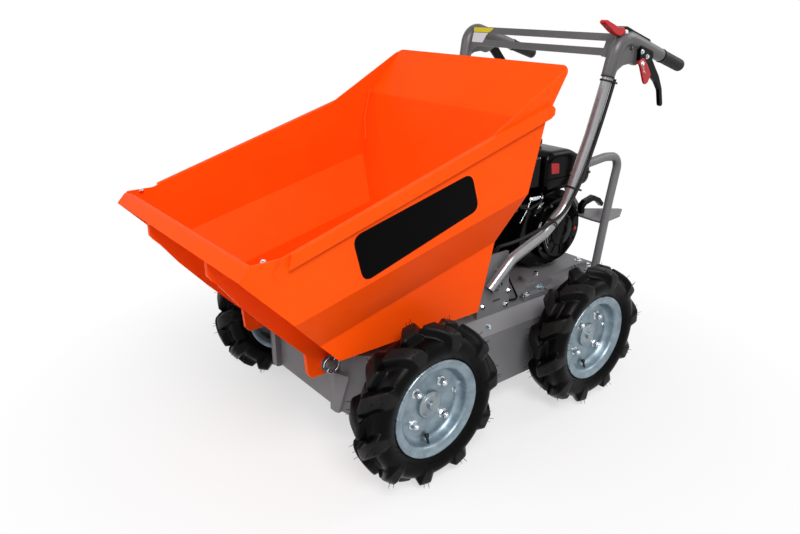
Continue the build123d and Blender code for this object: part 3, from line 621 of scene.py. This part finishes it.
def make_wheel(end, side):
    """Tyre, rim, hub, nuts and valve for one corner of the machine."""
    corner = hand_name("_" + end, side)
    body = "wheel" + corner
    axle = Matrix.Translation(Vector(JOINTS[body + "_spin"]["pos_m"]))

    tyre, mask = tyre_form(side)
    hairs = rubber_hairs(side)
    tread = shape("tread" + corner, placed(joined([tyre, hairs]), axle), TYRE_RUBBER, body,
                  crease=60)
    worn = tread.data.attributes.new("worn", "FLOAT", "POINT")
    crowns = np.concatenate([np.interp(mask, (0.9, 1), (0, 1)), np.zeros(len(hairs[0]))])
    worn.data.foreach_set("value", crowns.astype(np.float32))
    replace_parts(tread, "tyre" + corner)

    def fit(name, form, look, crease):
        return detail(name + corner, [placed(handed(form, side), axle)], look, body, crease)

    rim = fit("wheel_rim", lathe(RIM_SECTION, 128, closed=True), GALVANISED, 40)
    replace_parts(rim, "rim" + corner)
    fit("wheel_nuts", wheel_nuts(), BARE_STEEL, 35)
    hub = fit("wheel_hub", joined([lathe(HUB_SECTION, 64), lathe(HUB_BACK, 64)]), HUB_ZINC, 35)
    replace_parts(hub, "hub" + corner)
    fit("valve", tyre_valve(), BLACK_RUBBER, 30)


for wheel_end in ("front", "rear"):
    for wheel_side in (1, -1):
        make_wheel(wheel_end, wheel_side)

# ------------ handles
# left handle tube, from its open lower end up to the last bend, then its corner and its rear end
RISER = [(-14, 231, 370), (-88, 235, 440), (-200, 241, 488), (-273, 246, 551), (-334, 257, 742)]
RISER_BENDS = [70, 70, 80, 100]
HANDLE_CORNER = Vector((-392, 272, 995))
HANDLE_END = Vector((-693, 272, 908))
DOWN = (Vector(RISER[-1]) - HANDLE_CORNER).normalized()     # along the riser, from the corner
BACK = (HANDLE_END - HANDLE_CORNER).normalized()            # along the bar, from the corner
TUBE_RADIUS, TUBE_WALL = 14.5, 2.2
RISER_STOP, BAR_START = 83, 180         # where the tubes end inside the elbow, from the corner


def open_tube(route, radius, wall, depth):
    """A tube whose first end is open, with a bore of some depth behind it."""
    start = Vector(route[0])
    way = (Vector(route[1]) - start).normalized()
    return joined([
        pipe(route, radius, 28, caps=False),
        pipe([start, start + way * depth], radius - wall, 28, caps=False),
        pipe([start, start + way * 0.01], [radius, radius - wall], 28, caps=False),
    ])


riser_route = rounded_route(RISER + [HANDLE_CORNER + DOWN * RISER_STOP], RISER_BENDS)
bar_route = [HANDLE_CORNER + BACK * BAR_START, HANDLE_END - BACK * 4]
both_sides("handle_bar", [open_tube(riser_route, TUBE_RADIUS, TUBE_WALL, 60),
                          pipe(bar_route, TUBE_RADIUS, 28)], TUBE_PAINT, "handle_tube", crease=50)

# grip with a collar, fine ribs and a rounded end. columns: share along the grip, radius
GRIP_COLLAR = [(0.0, 15.0), (0.004, 18.4), (0.03, 18.8), (0.05, 18.2), (0.06, 17.0)]
GRIP_END = [(0.93, 17.2), (0.97, 17.0), (0.99, 15.6), (1.0, 11.5), (1.005, 5.0), (1.006, 0.2)]
GRIP_LENGTH, GRIP_PAST_END, GRIP_RIBS = 111, 6, 22
grip_line = list(GRIP_COLLAR)
for rib in range(GRIP_RIBS):
    rib_start = 0.08 + 0.84 * rib / GRIP_RIBS
    grip_line += [(rib_start, 16.9), (rib_start + 0.012, 17.3), (rib_start + 0.024, 16.9)]
grip_line += GRIP_END
grip_start = HANDLE_END + BACK * (GRIP_PAST_END - GRIP_LENGTH)
grip_route = [grip_start + BACK * (GRIP_LENGTH * share) for share, _ in grip_line]
both_sides("rubber_grip", [pipe(grip_route, [radius for _, radius in grip_line], 32)], BLACK_RUBBER,
           "handle_grip")

# moulded elbow over the corner: a swollen tube, melted into the web below it. columns of WEB: x, z
WEB = [(-374, 889), (-388, 905), (-410, 917), (-446, 921), (-467, 914), (-497, 927), (-520, 953),
       (-430, 988), (-388, 966)]
ELBOW_FOOT, ELBOW_BACK = 108, 206       # lengths of its legs, from the corner
ELBOW_RADIUS, ELBOW_SWELL = 17.6, 2.0


def elbow_radius(point, route):
    """The elbow is thickest between its ends."""
    from_foot, from_back = (point - route[0]).length, (point - route[-1]).length
    return ELBOW_RADIUS + ELBOW_SWELL * min(1, from_foot / 60) * min(1, from_back / 110)


elbow_route = rounded_route([
    HANDLE_CORNER + DOWN * ELBOW_FOOT, HANDLE_CORNER, HANDLE_CORNER + BACK * ELBOW_BACK,
], [45])
elbow_radii = [elbow_radius(point, elbow_route) for point in elbow_route]
elbow_forms = [pipe(elbow_route, elbow_radii, 32), plate(corner_arc(WEB, 6), 264, 280)]
for elbow in both_sides("elbow", elbow_forms, GREY_PLASTIC, "handle_shroud"):
    melt(elbow, voxel=1.25, rounds=45)

# dark joint ring where the tube leaves the elbow, and screws on the web
ring_start = HANDLE_CORNER + DOWN * (ELBOW_FOOT - 2)
both_sides("elbow_ring", [pipe([ring_start, ring_start + DOWN * 3], 18.3, 32)], BLACK_RUBBER)
bolts_each_side("elbow_screw", [(-437, 279.5, 961), (-478, 285, 946), (-500, 280, 955)], LEFT,
                size=11, height=4, washer=7, look=DARK_BOLT)

# ------------ levers on the handles
# side views. columns: x, z
CLUTCH = [(-467, 957), (-512, 951), (-546, 915), (-577, 884), (-600, 850), (-616, 806), (-611, 799),
          (-602, 803), (-587, 845), (-563, 869), (-530, 890), (-498, 920), (-467, 933)]
PERCH = [(-462, 968), (-524, 951), (-530, 936), (-516, 925), (-492, 921), (-466, 930)]
CATCH = [(-457, 926), (-470, 915), (-496, 872), (-505, 865), (-516, 870), (-526, 891), (-506, 915),
         (-482, 936)]
DRIVE_TIP = [(-315, 1030), (-310, 1022), (-352, 999), (-380, 990), (-402, 1000), (-392, 1012),
             (-368, 1012)]
DRIVE_BAR = [(-378, 1014), (-408, 1014), (-442, 1003), (-521, 980), (-524, 972), (-517, 964),
             (-440, 985), (-390, 996)]
LEVER_CORNER = 5


def lever_form(outline, near, far):
    """A flat lever, from its side view and the distances of its two faces from the middle."""
    return plate(corner_arc(outline, LEVER_CORNER), near, far)


for lever in both_sides("brake_lever", [lever_form(CLUTCH, 276, 287)], BLACK_PAINT, "clutch_lever"):
    soften(lever, 4.0, 3)
for perch in both_sides("lever_perch", [lever_form(PERCH, 268, 291)], BLACK_PAINT):
    soften(perch, 3.0, 3)
catch = detail("catch", [lever_form(CATCH, 286.2, 292.5)], RED_PLASTIC)
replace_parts(catch, "red_catch")
soften(catch, 2.0, 3)
drive_bar = detail("drive_bar", [lever_form(DRIVE_BAR, 264, 280)], BLACK_PAINT)
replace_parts(drive_bar, "drive_lever")
soften(drive_bar, 2.5, 3)
soften(detail("drive_tip", [lever_form(DRIVE_TIP, 262, 282)], RED_PLASTIC), 3.0, 3)
bolts("lever_pins", [(-403, 279.5, 1000), (-496, 291, 938), (-470, 291, 951), (-476, 292.5, 921)],
      LEFT, size=10, height=4, washer=6.5)
spring_route = [
    (-468 - 0.9 * n + 2.6 * cos(n * 1.3), 294 + 2.6 * sin(n * 1.3), 930 - 1.3 * n)
    for n in range(28)
]
shape("catch_spring", pipe(spring_route, 0.7, 6), BARE_STEEL)

# ------------ labels on the console plate
CONSOLE_LEAN = radians(13)
CONSOLE = Matrix.Translation(Vector((-391, 0, 995)) * MM) @ Matrix((
    (0, -sin(CONSOLE_LEAN), cos(CONSOLE_LEAN), 0), (1, 0, 0, 0),
    (0, cos(CONSOLE_LEAN), sin(CONSOLE_LEAN), 0), (0, 0, 0, 1),
))
# blank labels. columns of the outline: y, distance above the console's top edge
LABELS = [
    ("label_top", [(-250, -2), (-166, -2), (-182, -16), (-247, -16)], LABEL_YELLOW),
    ("label_low", [(-247, -17.5), (-184, -17.5), (-192, -24), (-201, -46), (-247, -46)],
     LABEL_WHITE),
]
for label, outline, label_look in LABELS:
    sheet = plate(corner_arc(outline, 4), 2.1, 2.5, flat=True)
    soften(detail(label, [placed(sheet, CONSOLE)], label_look), 0.15)

# ------------ guard hoops
HOOP = [(-305, 243, 636), (-380, 203, 643), (-499, 200, 654), (-572, 200, 648), (-548, 200, 517),
        (-518, 200, 300)]
HOOP_FOOT = [(-554, 184), (-482, 184), (-482, 214), (-554, 214)]
both_sides("rear_hoop", [pipe(rounded_route(HOOP, [80, 120, 35, 80]), 12.5, 24),
                         plate(corner_arc(HOOP_FOOT, 9), 300, 305, flat=True)], GREY_PAINT,
           "guard_hoop", crease=50)

# ------------ control cable with its ties
CABLE = [
    (-379, 281, 885), (-347, 273, 739), (-270, 268, 553), (-188, 249, 510), (-100, 228, 480),
    (-48, 190, 464), (-56, 190, 285),
]
CABLE_RADIUS = 4.5


def make_cable():
    """The cable as a spline through the points of its route."""
    line = bpy.data.curves.new("control_line", "CURVE")
    line.dimensions = "3D"
    spline = line.splines.new("NURBS")
    spline.points.add(len(CABLE) - 1)
    for point, (x, y, z) in zip(spline.points, CABLE):
        point.co = (x * MM, y * MM, z * MM, 1)
    spline.order_u = 3
    spline.use_endpoint_u = True
    line.resolution_u = 24
    line.bevel_depth = CABLE_RADIUS * MM
    line.bevel_resolution = 6
    line.use_fill_caps = True
    line.materials.append(BLACK_RUBBER.material)
    cable = bpy.data.objects.new("control_line", line)
    bpy.context.scene.collection.objects.link(cable)
    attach(cable, "chassis")
    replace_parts(cable, "control_cable")


TIE_WIDE, TIE_HIGH, TIE_STEPS = 20.5, 15.4, 28      # half sizes of the loop round tube and cable
TIE_SHIFT = 4                                       # of the loop's middle, from tube to cable
TIE_SECTION = [(-2.5, 0), (-2.2, 1.1), (2.2, 1.1), (2.5, 0)]    # along the tube, out of the loop
TIE_LOCK = [(TIE_WIDE + 2, -3), (TIE_WIDE + 8, -3), (TIE_WIDE + 8, 3), (TIE_WIDE + 2, 3)]


def tie(name, place, direction, away):
    """A band round the handle tube and the cable, and its lock."""
    way = Vector(direction).normalized()
    out = Vector(away)
    out = (out - out.dot(way) * way).normalized()
    other = way.cross(out)
    centre = Vector(place)
    points = []
    for level, grow in TIE_SECTION:
        for n in range(TIE_STEPS):
            a = 2 * pi * n / TIE_STEPS
            on_loop = Vector((TIE_WIDE * cos(a), TIE_HIGH * sin(a)))
            on_loop += on_loop.normalized() * grow
            points.append((centre + out * (on_loop.x + TIE_SHIFT) + other * on_loop.y
                           + way * level) * MM)
    turn = Matrix((out, other, way)).transposed().to_4x4()
    lock = placed(plate(TIE_LOCK, -2.4, 2.4, flat=True), Matrix.Translation(centre * MM) @ turn)
    detail(name, [(points, skin(len(TIE_SECTION), TIE_STEPS)), lock], BLACK_RUBBER)


make_cable()
tie("cable_tie_top", (-366, 265, 880), (-58, 15, 253), (-0.7, 0.7, 0))
tie("cable_tie_mid", (-290, 249, 605), (-61, 11, 191), (-0.3, 1, 0))
tie("cable_tie_low", (-228, 243, 513), (73, -5, -60), (0.2, 0.7, 0.7))

# ------------ hopper
# blank plate on each side panel. columns: x, z
PANEL = [(478, 633), (160, 718), (131, 632), (450, 532)]
PANEL_FACES = (315.2, 316.7)        # distances from the middle
for hand in (1, -1):
    panel = plate(corner_arc(PANEL, 24, 8), *sorted(hand * face for face in PANEL_FACES))
    soften(detail(hand_name("side_plate", hand), [panel], PLATE_BLACK, "hopper"), 0.4)


def weld(points, size):
    """A lumpy weld bead along a line of points."""
    route, radii = [], []
    for first, last in zip(points, points[1:]):
        first, last = Vector(first), Vector(last)
        count = max(2, int((last - first).length / 3))
        for n in range(count):
            route.append(first + (last - first) * (n / count))
            lump = 0.35 * abs(sin(2.1 * len(route))) + 0.12 * sin(0.7 * len(route))
            radii.append(size * (0.75 + lump))
    return pipe(route, radii, 8)


# columns: x, y, z
SEAMS = [
    [(-24, 301, 820), (9, 281, 745), (27, 251, 687)],
    [(640, 318, 622), (652, 316, 600), (640, 314, 570)],
]
detail("weld_seams", [each_side(weld(points, 2.2)) for points in SEAMS], ORANGE_PAINT, "hopper", 60)
bolts_each_side("rim_bolt", [(665, 305, 622)], (0.3, 0, 1), size=7, height=3, washer=5.5,
                body="hopper")

# clips through the ends of the tipping pin, and the washers beside its bosses
PIVOT_X, _, PIVOT_Z = (metres / MM for metres in JOINTS["hopper_tip"]["pos_m"])
CLIP_Y, CLIP_RADIUS = 178, 21
clip_route = [(PIVOT_X + CLIP_RADIUS * cos(a), CLIP_Y, PIVOT_Z + CLIP_RADIUS * sin(a))
              for a in (0.26 * n for n in range(20))]
clip_route += [(PIVOT_X + 12, CLIP_Y, PIVOT_Z - 14), (PIVOT_X - 12, CLIP_Y, PIVOT_Z + 16)]
detail("pin_clips", [each_side(pipe(clip_route, 1.6, 8))], BARE_STEEL, crease=60)
WASHER_Y = 169.5
washer = lathe([(12.2, -2.4), (22, -2.4), (22, 0), (12.2, 0)], 40, closed=True)
detail("pin_washers", [each_side(placed(washer, facing((PIVOT_X, WASHER_Y, PIVOT_Z), LEFT)))],
       GALVANISED)

# ------------ chassis, brackets and deck
DECK_Z, RAIL_Z, GEARBOX_Z = 300, 312, 319       # tops of the deck, the engine rails and the gearbox
BRACKET_Y, RAIL_Y, HOOP_FOOT_Y = 216.5, 138, 200
SLOPE_DIRECTION = (0, 35, 36)                   # of the chassis box's sloping upper side
BRACKET_BOLTS = [(-70, 370), (-105, 341), (-55, 411), (-96, 303), (-8, 318)]      # x, z
DECK_BOLTS = [(-529, 167), (-531, 123), (-240, 60), (-200, 205)]                  # x, y
bolts_each_side("side_bolt", [(-15, 236, 265.5)], SLOPE_DIRECTION, size=10, height=5, washer=7.5,
                look=GALVANISED)
bolts_each_side("bracket_bolt", [(x, BRACKET_Y, z) for x, z in BRACKET_BOLTS], LEFT,
                size=11, height=5, washer=8)
bolts_each_side("deck_bolt", [(x, y, DECK_Z) for x, y in DECK_BOLTS], UP,
                size=13, height=7, washer=10)
bolts_each_side("rail_bolt", [(x, RAIL_Y, RAIL_Z) for x in (-516, -312)], UP,
                size=13, height=8, washer=11)
bolts_each_side("hoop_bolt", [(x, HOOP_FOOT_Y, DECK_Z + 5) for x in (-544, -492)], UP,
                size=10, height=5, washer=7, look=DARK_BOLT)


def gearbox_pin(x, y, radius, height):
    """A stepped shaft end that stands on the deck."""
    profile = [(0.01, height), (0.5 * radius, height), (0.55 * radius, height - 3),
               (0.9 * radius, height - 3), (radius, height - 5), (radius, 0), (0.01, 0)]
    return placed(lathe(profile, 28), facing((x, y, DECK_Z), UP))


# columns: x, y, radius, height
GEARBOX_PINS = [(-262, 190, 18, 13), (-232, 178, 11, 16), (-268, 206, 9, 12)]
detail("gearbox_pins", [gearbox_pin(*row) for row in GEARBOX_PINS], GALVANISED)
gearbox_corners = [(x, y, GEARBOX_Z) for x in (-300, -150) for y in (150, -150)]
bolts("gearbox_bolts", gearbox_corners + [(-184, 205, DECK_Z)], UP, size=12, height=6, washer=9)
CLUTCH_LINK = [(-98, 207, 384), (-109, 203, 383), (-172, 197, 292), (-126, 200, 300),
               (-104, 207, 318)]
detail("clutch_link", [pipe(rounded_route(CLUTCH_LINK, [3, 6, 5]), 2.6, 10)], BLACK_PAINT,
       crease=60)

# ------------ engine, starter
# the crank axle, and the leaning barrel's directions along and across it
CRANK = Vector((-414, 0, 432))
BARREL_LEAN = radians(15)
BARREL = Vector((cos(BARREL_LEAN), 0, sin(BARREL_LEAN)))
BARREL_UP = Vector((-sin(BARREL_LEAN), 0, cos(BARREL_LEAN)))
STARTER_FACE, COVER_FACE = 138, 126         # distances from the middle


def round_crank(radius, angle, y):
    """A place at a radius round the crank axle."""
    return CRANK + Vector((radius * cos(angle), y, radius * sin(angle)))


def slot_highlight(radius, y, first, last):
    """A thin bright bar bent round the crank axle, a painted highlight on a slot's edge."""
    angles = np.linspace(radians(first), radians(last), 14)
    return pipe([round_crank(radius, a, y) for a in angles], 1.3, 8)


# painted highlights on the edges of the starter's cooling slots, as bright bars. columns: radius, distance out,
# first and last angle
SLOT_HIGHLIGHTS = [
    (90, 126.6, -24, 24), (94.5, 126.4, -22, 20), (74, 138.8, -40, 34), (66, 138.8, -30, 42),
    (101, 104.8, 30, 58), (106, 104.8, 34, 54),
]
detail("slot_highlights", [slot_highlight(*row) for row in SLOT_HIGHLIGHTS], BARE_STEEL, crease=60)
starter_place = facing(CRANK + Vector((0, STARTER_FACE, 0)), LEFT)
disc = lathe([(0.01, 2), (44, 2), (47, 1), (48, 0), (0.01, 0)], 48)
ring = lathe([(20, 2), (20, 3.5), (24, 3.5), (24, 2)], 40, closed=True)
detail("starter_plate", [placed(disc, starter_place), placed(ring, starter_place)], BLACK_PAINT)
spot = lathe([(0.01, 1.2), (5, 1.2), (6, 0.4), (6, 0), (0.01, 0)], 24)
detail("red_spot", [placed(spot, facing((-480, STARTER_FACE, 426), LEFT))], RED_PLASTIC)
for k, angle in enumerate((60, 150, 240, 330)):
    bolts("starter_bolt_" + str(k), [round_crank(90, radians(angle), COVER_FACE)], LEFT,
          size=9, height=4, washer=6, look=DARK_STEEL)
PULL = [(-352, 508), (-318, 500), (-316, 490), (-350, 496)]
pull_handle = detail("pull_handle", [plate(corner_arc(PULL, 4), 96, 114)], BLACK_RUBBER)
soften(pull_handle, 3.0, 3)
detail("pull_cord", [pipe([(-334, 104, 496), (-338, 104, 470)], 2.0, 8)], BLACK_RUBBER, crease=60)

# ------------ engine, fuel tank
# side view of the tank, its middle and its half sizes. columns: x, z
TANK = [(-360, 548), (-346, 564), (-346, 648), (-364, 668), (-455, 668), (-552, 624), (-562, 610),
        (-562, 564), (-548, 548)]
TANK_MIDDLE, TANK_HALF = (-454, 608), (108, 60)
# its eased flank. columns: distance out, how far the side view has shrunk
FLANK = [(116, 17), (115, 11), (112, 6), (107, 2.2), (101, 0.5), (94, 0)]
TANK_SEAM = [(-341, -121), (-567, -121), (-567, 121), (-341, 121)]
SEAM_Z = (584, 588)


def tank_form():
    """The tank as a skin over side views that shrink towards each flank."""
    view = corner_arc(TANK, 18, 5)
    sections = [(-out, shrink) for out, shrink in FLANK] + FLANK[::-1]
    points = []
    for out, shrink in sections:
        x_share, z_share = (1 - shrink / half for half in TANK_HALF)
        for x, z in view:
            points.append(((TANK_MIDDLE[0] + (x - TANK_MIDDLE[0]) * x_share) * MM, out * MM,
                           (TANK_MIDDLE[1] + (z - TANK_MIDDLE[1]) * z_share) * MM))
    return points, skin(len(sections), len(view)) + end_caps(len(points), len(view))


tank_seam = plate(corner_arc(TANK_SEAM, 26, 8), *SEAM_Z, flat=True)
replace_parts(detail("tank", [tank_form(), tank_seam], BLACK_PAINT, crease=35), "fuel_tank")

# columns: radius, z
CAP_RINGS = [(30, 667.5), (35, 673), (36, 676), (36, 685), (33, 689), (26, 690), (12, 690),
             (8, 692), (0.1, 692)]
CAP_X, CAP_STEPS = -400, 96
CAP_WAVES, WAVE_HEIGHT, WAVE_Z = 16, 1.1, (674, 688)


def cap_form():
    """The tank's cap, with a scalloped rim."""
    points = []
    for radius, z in CAP_RINGS:
        height = WAVE_HEIGHT if WAVE_Z[0] < z < WAVE_Z[1] else 0
        for n in range(CAP_STEPS):
            a = 2 * pi * n / CAP_STEPS
            reach = (radius + height * sin(CAP_WAVES * a)) * MM
            points.append((CAP_X * MM + reach * cos(a), reach * sin(a), z * MM))
    return points, skin(len(CAP_RINGS), CAP_STEPS)


detail("tank_cap", [cap_form()], BLACK_RUBBER, crease=40)
TAG = [(-365, 636), (-400, 632), (-405, 602), (-370, 604)]
soften(detail("tank_tag", [plate(corner_arc(TAG, 3), 115.6, 116.6)], RED_PLASTIC), 0.3)

# ------------ engine, cylinder head
HEAD_PLUG, HEAD_COVER = 214, 218.5          # distances along the barrel from the crank axle
plug_place = CRANK + BARREL * HEAD_PLUG + BARREL_UP * 18 + Vector((0, 38, 0))
plug = lathe([(0.01, 42), (7, 42), (9, 39), (9, 22), (6.5, 20), (6.5, 8), (9.5, 7), (9.5, 0),
              (0.01, 0)], 24)
detail("plug_cap", [placed(plug, facing(plug_place, BARREL * 0.7 + Vector((0, 0.7, 0))))],
       BLACK_RUBBER)
lead_route = rounded_route([
    plug_place + Vector((28, 28, 10)), plug_place + Vector((34, 52, 20)), (-262, 98, 520),
    (-300, 98, 518),
], [14, 16])
detail("plug_lead", [pipe(lead_route, 3.2, 10)], BLACK_RUBBER, crease=60)
cover_corners = [CRANK + BARREL * HEAD_COVER + BARREL_UP * up + Vector((0, out, 0))
                 for up in (-33.6, 33.6) for out in (-30.6, 30.6)]
bolts("cover_bolts", cover_corners, BARREL, size=10, height=5, washer=7)

# ------------ engine, carburettor and throttle
CARBURETTOR = [(-272, 520), (-240, 520), (-240, 573), (-272, 573)]
carburettor = detail("carburettor", [plate(corner_arc(CARBURETTOR, 4), 62, 98)], DARK_STEEL)
soften(carburettor, 2.5, 3)
bowl = lathe([(0.01, 0), (12, 0), (15, 3), (15, 18), (0.01, 18)], 28)
detail("float_bowl", [placed(bowl, facing((-256, 80, 503), UP))], DARK_STEEL)
THROTTLE_PLATE = [(-300, 541), (-362, 539), (-364, 531), (-330, 529), (-302, 531)]
throttle_plate = detail("throttle_plate", [plate(corner_arc(THROTTLE_PLATE, 3), 99, 101)],
                        BARE_STEEL)
soften(throttle_plate, 0.6)
bolts("throttle_screws", [(-312, 101, 535), (-352, 101, 534), (-281, 64, 447)], LEFT,
      size=8, height=4, washer=5.5)
THROTTLE_RODS = [
    [(-306, 102, 536), (-288, 102, 500), (-268, 100, 470)],
    [(-356, 102, 536), (-372, 102, 520), (-380, 90, 505)],
]
detail("throttle_rod", [pipe(rod, 1.6, 8) for rod in THROTTLE_RODS], BARE_STEEL, crease=60)
FUEL_HOSE = [(-352, 100, 548), (-352, 104, 522), (-300, 104, 508), (-268, 96, 515)]
detail("fuel_hose", [pipe(rounded_route(FUEL_HOSE, [12, 14]), 3.6, 12)], BLACK_RUBBER, crease=60)

# ------------ engine, air cleaner and muffler
CLEANER_TOP = (-275, 58, 664)
KNOB_WINGS = [(-293, 664), (-257, 664), (-259, 677), (-291, 677)]
knob = lathe([(0.01, 12), (7, 12), (10, 9), (11, 4), (9, 0), (0.01, 0)], 24)
cleaner_knob = detail("cleaner_knob", [placed(knob, facing(CLEANER_TOP, UP)),
                                       plate(corner_arc(KNOB_WINGS, 4), 55, 61)], BLACK_PAINT)
soften(cleaner_knob, 0.8)
# a bright steel strip down the air cleaner cover's edge: a painted highlight
CLEANER_HIGHLIGHT = [(-327.8, 580), (-325.8, 580), (-325.8, 656), (-327.8, 656)]
detail("cleaner_highlight", [plate(CLEANER_HIGHLIGHT, 96, 105)], BARE_STEEL)
bolts("guard_screws", [(x, y, 650) for x in (-322, -228) for y in (-94, -18)], UP,
      size=8, height=4, washer=6)
outlet_place = facing((-245, -104, 600), (0.3, -1, -0.2))
outlet = lathe([(9, 0), (11.5, 0), (11.5, 24), (9, 24)], 28, closed=True)
detail("muffler_outlet", [placed(outlet, outlet_place)], DARK_STEEL)
# a near-black disc a little way inside the outlet: painted shade for the depth of the pipe
outlet_painted_shade = lathe([(0.01, 6), (9.2, 6), (9.2, 5), (0.01, 5)], 20)
detail("outlet_painted_shade", [placed(outlet_painted_shade, outlet_place)], PLATE_BLACK)

# ------------ engine, oil filler and drain
filler = lathe([(0.01, 22), (9, 22), (11, 20), (11, 12), (8, 11), (8, 0), (0.01, 0)], 20)
detail("oil_filler", [placed(filler, facing((-330, 56, 330), (0.5, 0.5, 0.5)))], BLACK_RUBBER)
bolts("drain_bolts", [(-319, 30, 325), (-319, -60, 325)], FORWARD, size=12, height=7, washer=9)

# ------------ floor, light and camera
# between two distances from the machine the floor turns from a shadowed white to plain white
FLOOR_HALF = 30.0
FLOOR_WHITE = 0.85
NEAR, FAR, NEAR_SHARE = 0.4, 1.2, 0.6
WORLD_LIGHT = 0.16


def sees_background(tree):
    """1 for the camera's rays and for those that metal and glass reflect or let through, else 0."""
    path = add_node(tree, "ShaderNodeLightPath")
    total = path.outputs["Is Camera Ray"]
    for kind in ("Is Glossy Ray", "Is Transmission Ray"):
        total = maths(tree, "MAXIMUM", total, path.outputs[kind])
    return total


def white_floor():
    """A pale floor that keeps the machine's soft shadow and turns to plain white further out."""
    material, tree, shader = new_material("floor_white")
    feed(tree, shader, {
        "Base Color": (FLOOR_WHITE, FLOOR_WHITE, FLOOR_WHITE, 1), "Roughness": 0.9,
        "Specular IOR Level": 0.0,
    })
    white = add_node(tree, "ShaderNodeEmission", {"Color": (1, 1, 1, 1), "Strength": 1.0})
    distance = add_node(tree, "ShaderNodeVectorMath", {0: object_place(tree)}, operation="LENGTH")
    share = map_range(tree, distance.outputs["Value"], NEAR, FAR, NEAR_SHARE, 1.0)
    mix = add_node(tree, "ShaderNodeMixShader", {
        "Fac": maths(tree, "MULTIPLY", share, sees_background(tree)),
        1: shader.outputs["BSDF"], 2: white.outputs["Emission"],
    })
    feed(tree, tree.nodes["Material Output"], {"Surface": mix.outputs["Shader"]})
    return material


def make_floor():
    mesh = bpy.data.meshes.new("floor")
    corners = [(-1, -1), (1, -1), (1, 1), (-1, 1)]
    mesh.from_pydata([(x * FLOOR_HALF, y * FLOOR_HALF, 0) for x, y in corners], [], [(0, 1, 2, 3)])
    mesh.materials.append(white_floor())
    floor = bpy.data.objects.new("floor", mesh)
    bpy.context.scene.collection.objects.link(floor)


def area_light(name, place, target, size, power):
    """A soft square lamp at place, aimed at target."""
    lamp = bpy.data.lights.new(name, "AREA")
    lamp.shape = "SQUARE"
    lamp.size = size
    lamp.energy = power
    holder = bpy.data.objects.new(name, lamp)
    bpy.context.scene.collection.objects.link(holder)
    holder.location = place
    aim = Vector(target) - Vector(place)
    holder.rotation_euler = aim.to_track_quat("-Z", "Y").to_euler()


def make_world():
    """Plain white to look at, and a softer white as light."""
    world = bpy.data.worlds.new("studio")
    bpy.context.scene.world = world
    world.use_nodes = True
    tree = world.node_tree
    strength = map_range(tree, sees_background(tree), to_min=WORLD_LIGHT)
    feed(tree, tree.nodes["Background"], {"Color": (1, 1, 1, 1), "Strength": strength})


# the photograph's viewpoint, worked out from the wheels and the hopper's edges
CAMERA_PLACE = (1.20205, 1.34259, 1.05772)
CAMERA_AIM = (-0.593117, -0.720222, -0.359850)
CAMERA_ROLL = radians(1.095)
SENSOR_WIDTH, FOCAL_LENGTH = 36.0, 30.753


def make_camera():
    place = Vector(CAMERA_PLACE)
    forward = Vector(CAMERA_AIM).normalized()
    level_right = forward.cross(Vector((0, 0, 1))).normalized()
    level_up = level_right.cross(forward)
    right = cos(CAMERA_ROLL) * level_right + sin(CAMERA_ROLL) * level_up
    up = cos(CAMERA_ROLL) * level_up - sin(CAMERA_ROLL) * level_right
    lens = bpy.data.cameras.new("camera")
    lens.sensor_width = SENSOR_WIDTH
    lens.lens = FOCAL_LENGTH
    lens.clip_start = 0.02
    camera = bpy.data.objects.new("camera", lens)
    bpy.context.scene.collection.objects.link(camera)
    turn = Matrix((right, up, -forward)).transposed().to_4x4()
    camera.matrix_world = Matrix.Translation(place) @ turn
    bpy.context.scene.camera = camera


make_floor()
make_world()
area_light("key", (1.6, 2.6, 3.2), (0, 0, 0.4), size=1.8, power=138)
area_light("fill", (3.2, -0.6, 2.0), (0, 0, 0.4), size=2.0, power=30)
area_light("rim", (-2.6, 1.4, 2.4), (0, 0, 0.5), size=1.6, power=28)
make_camera()
bpy.context.scene.view_settings.view_transform = "Standard"
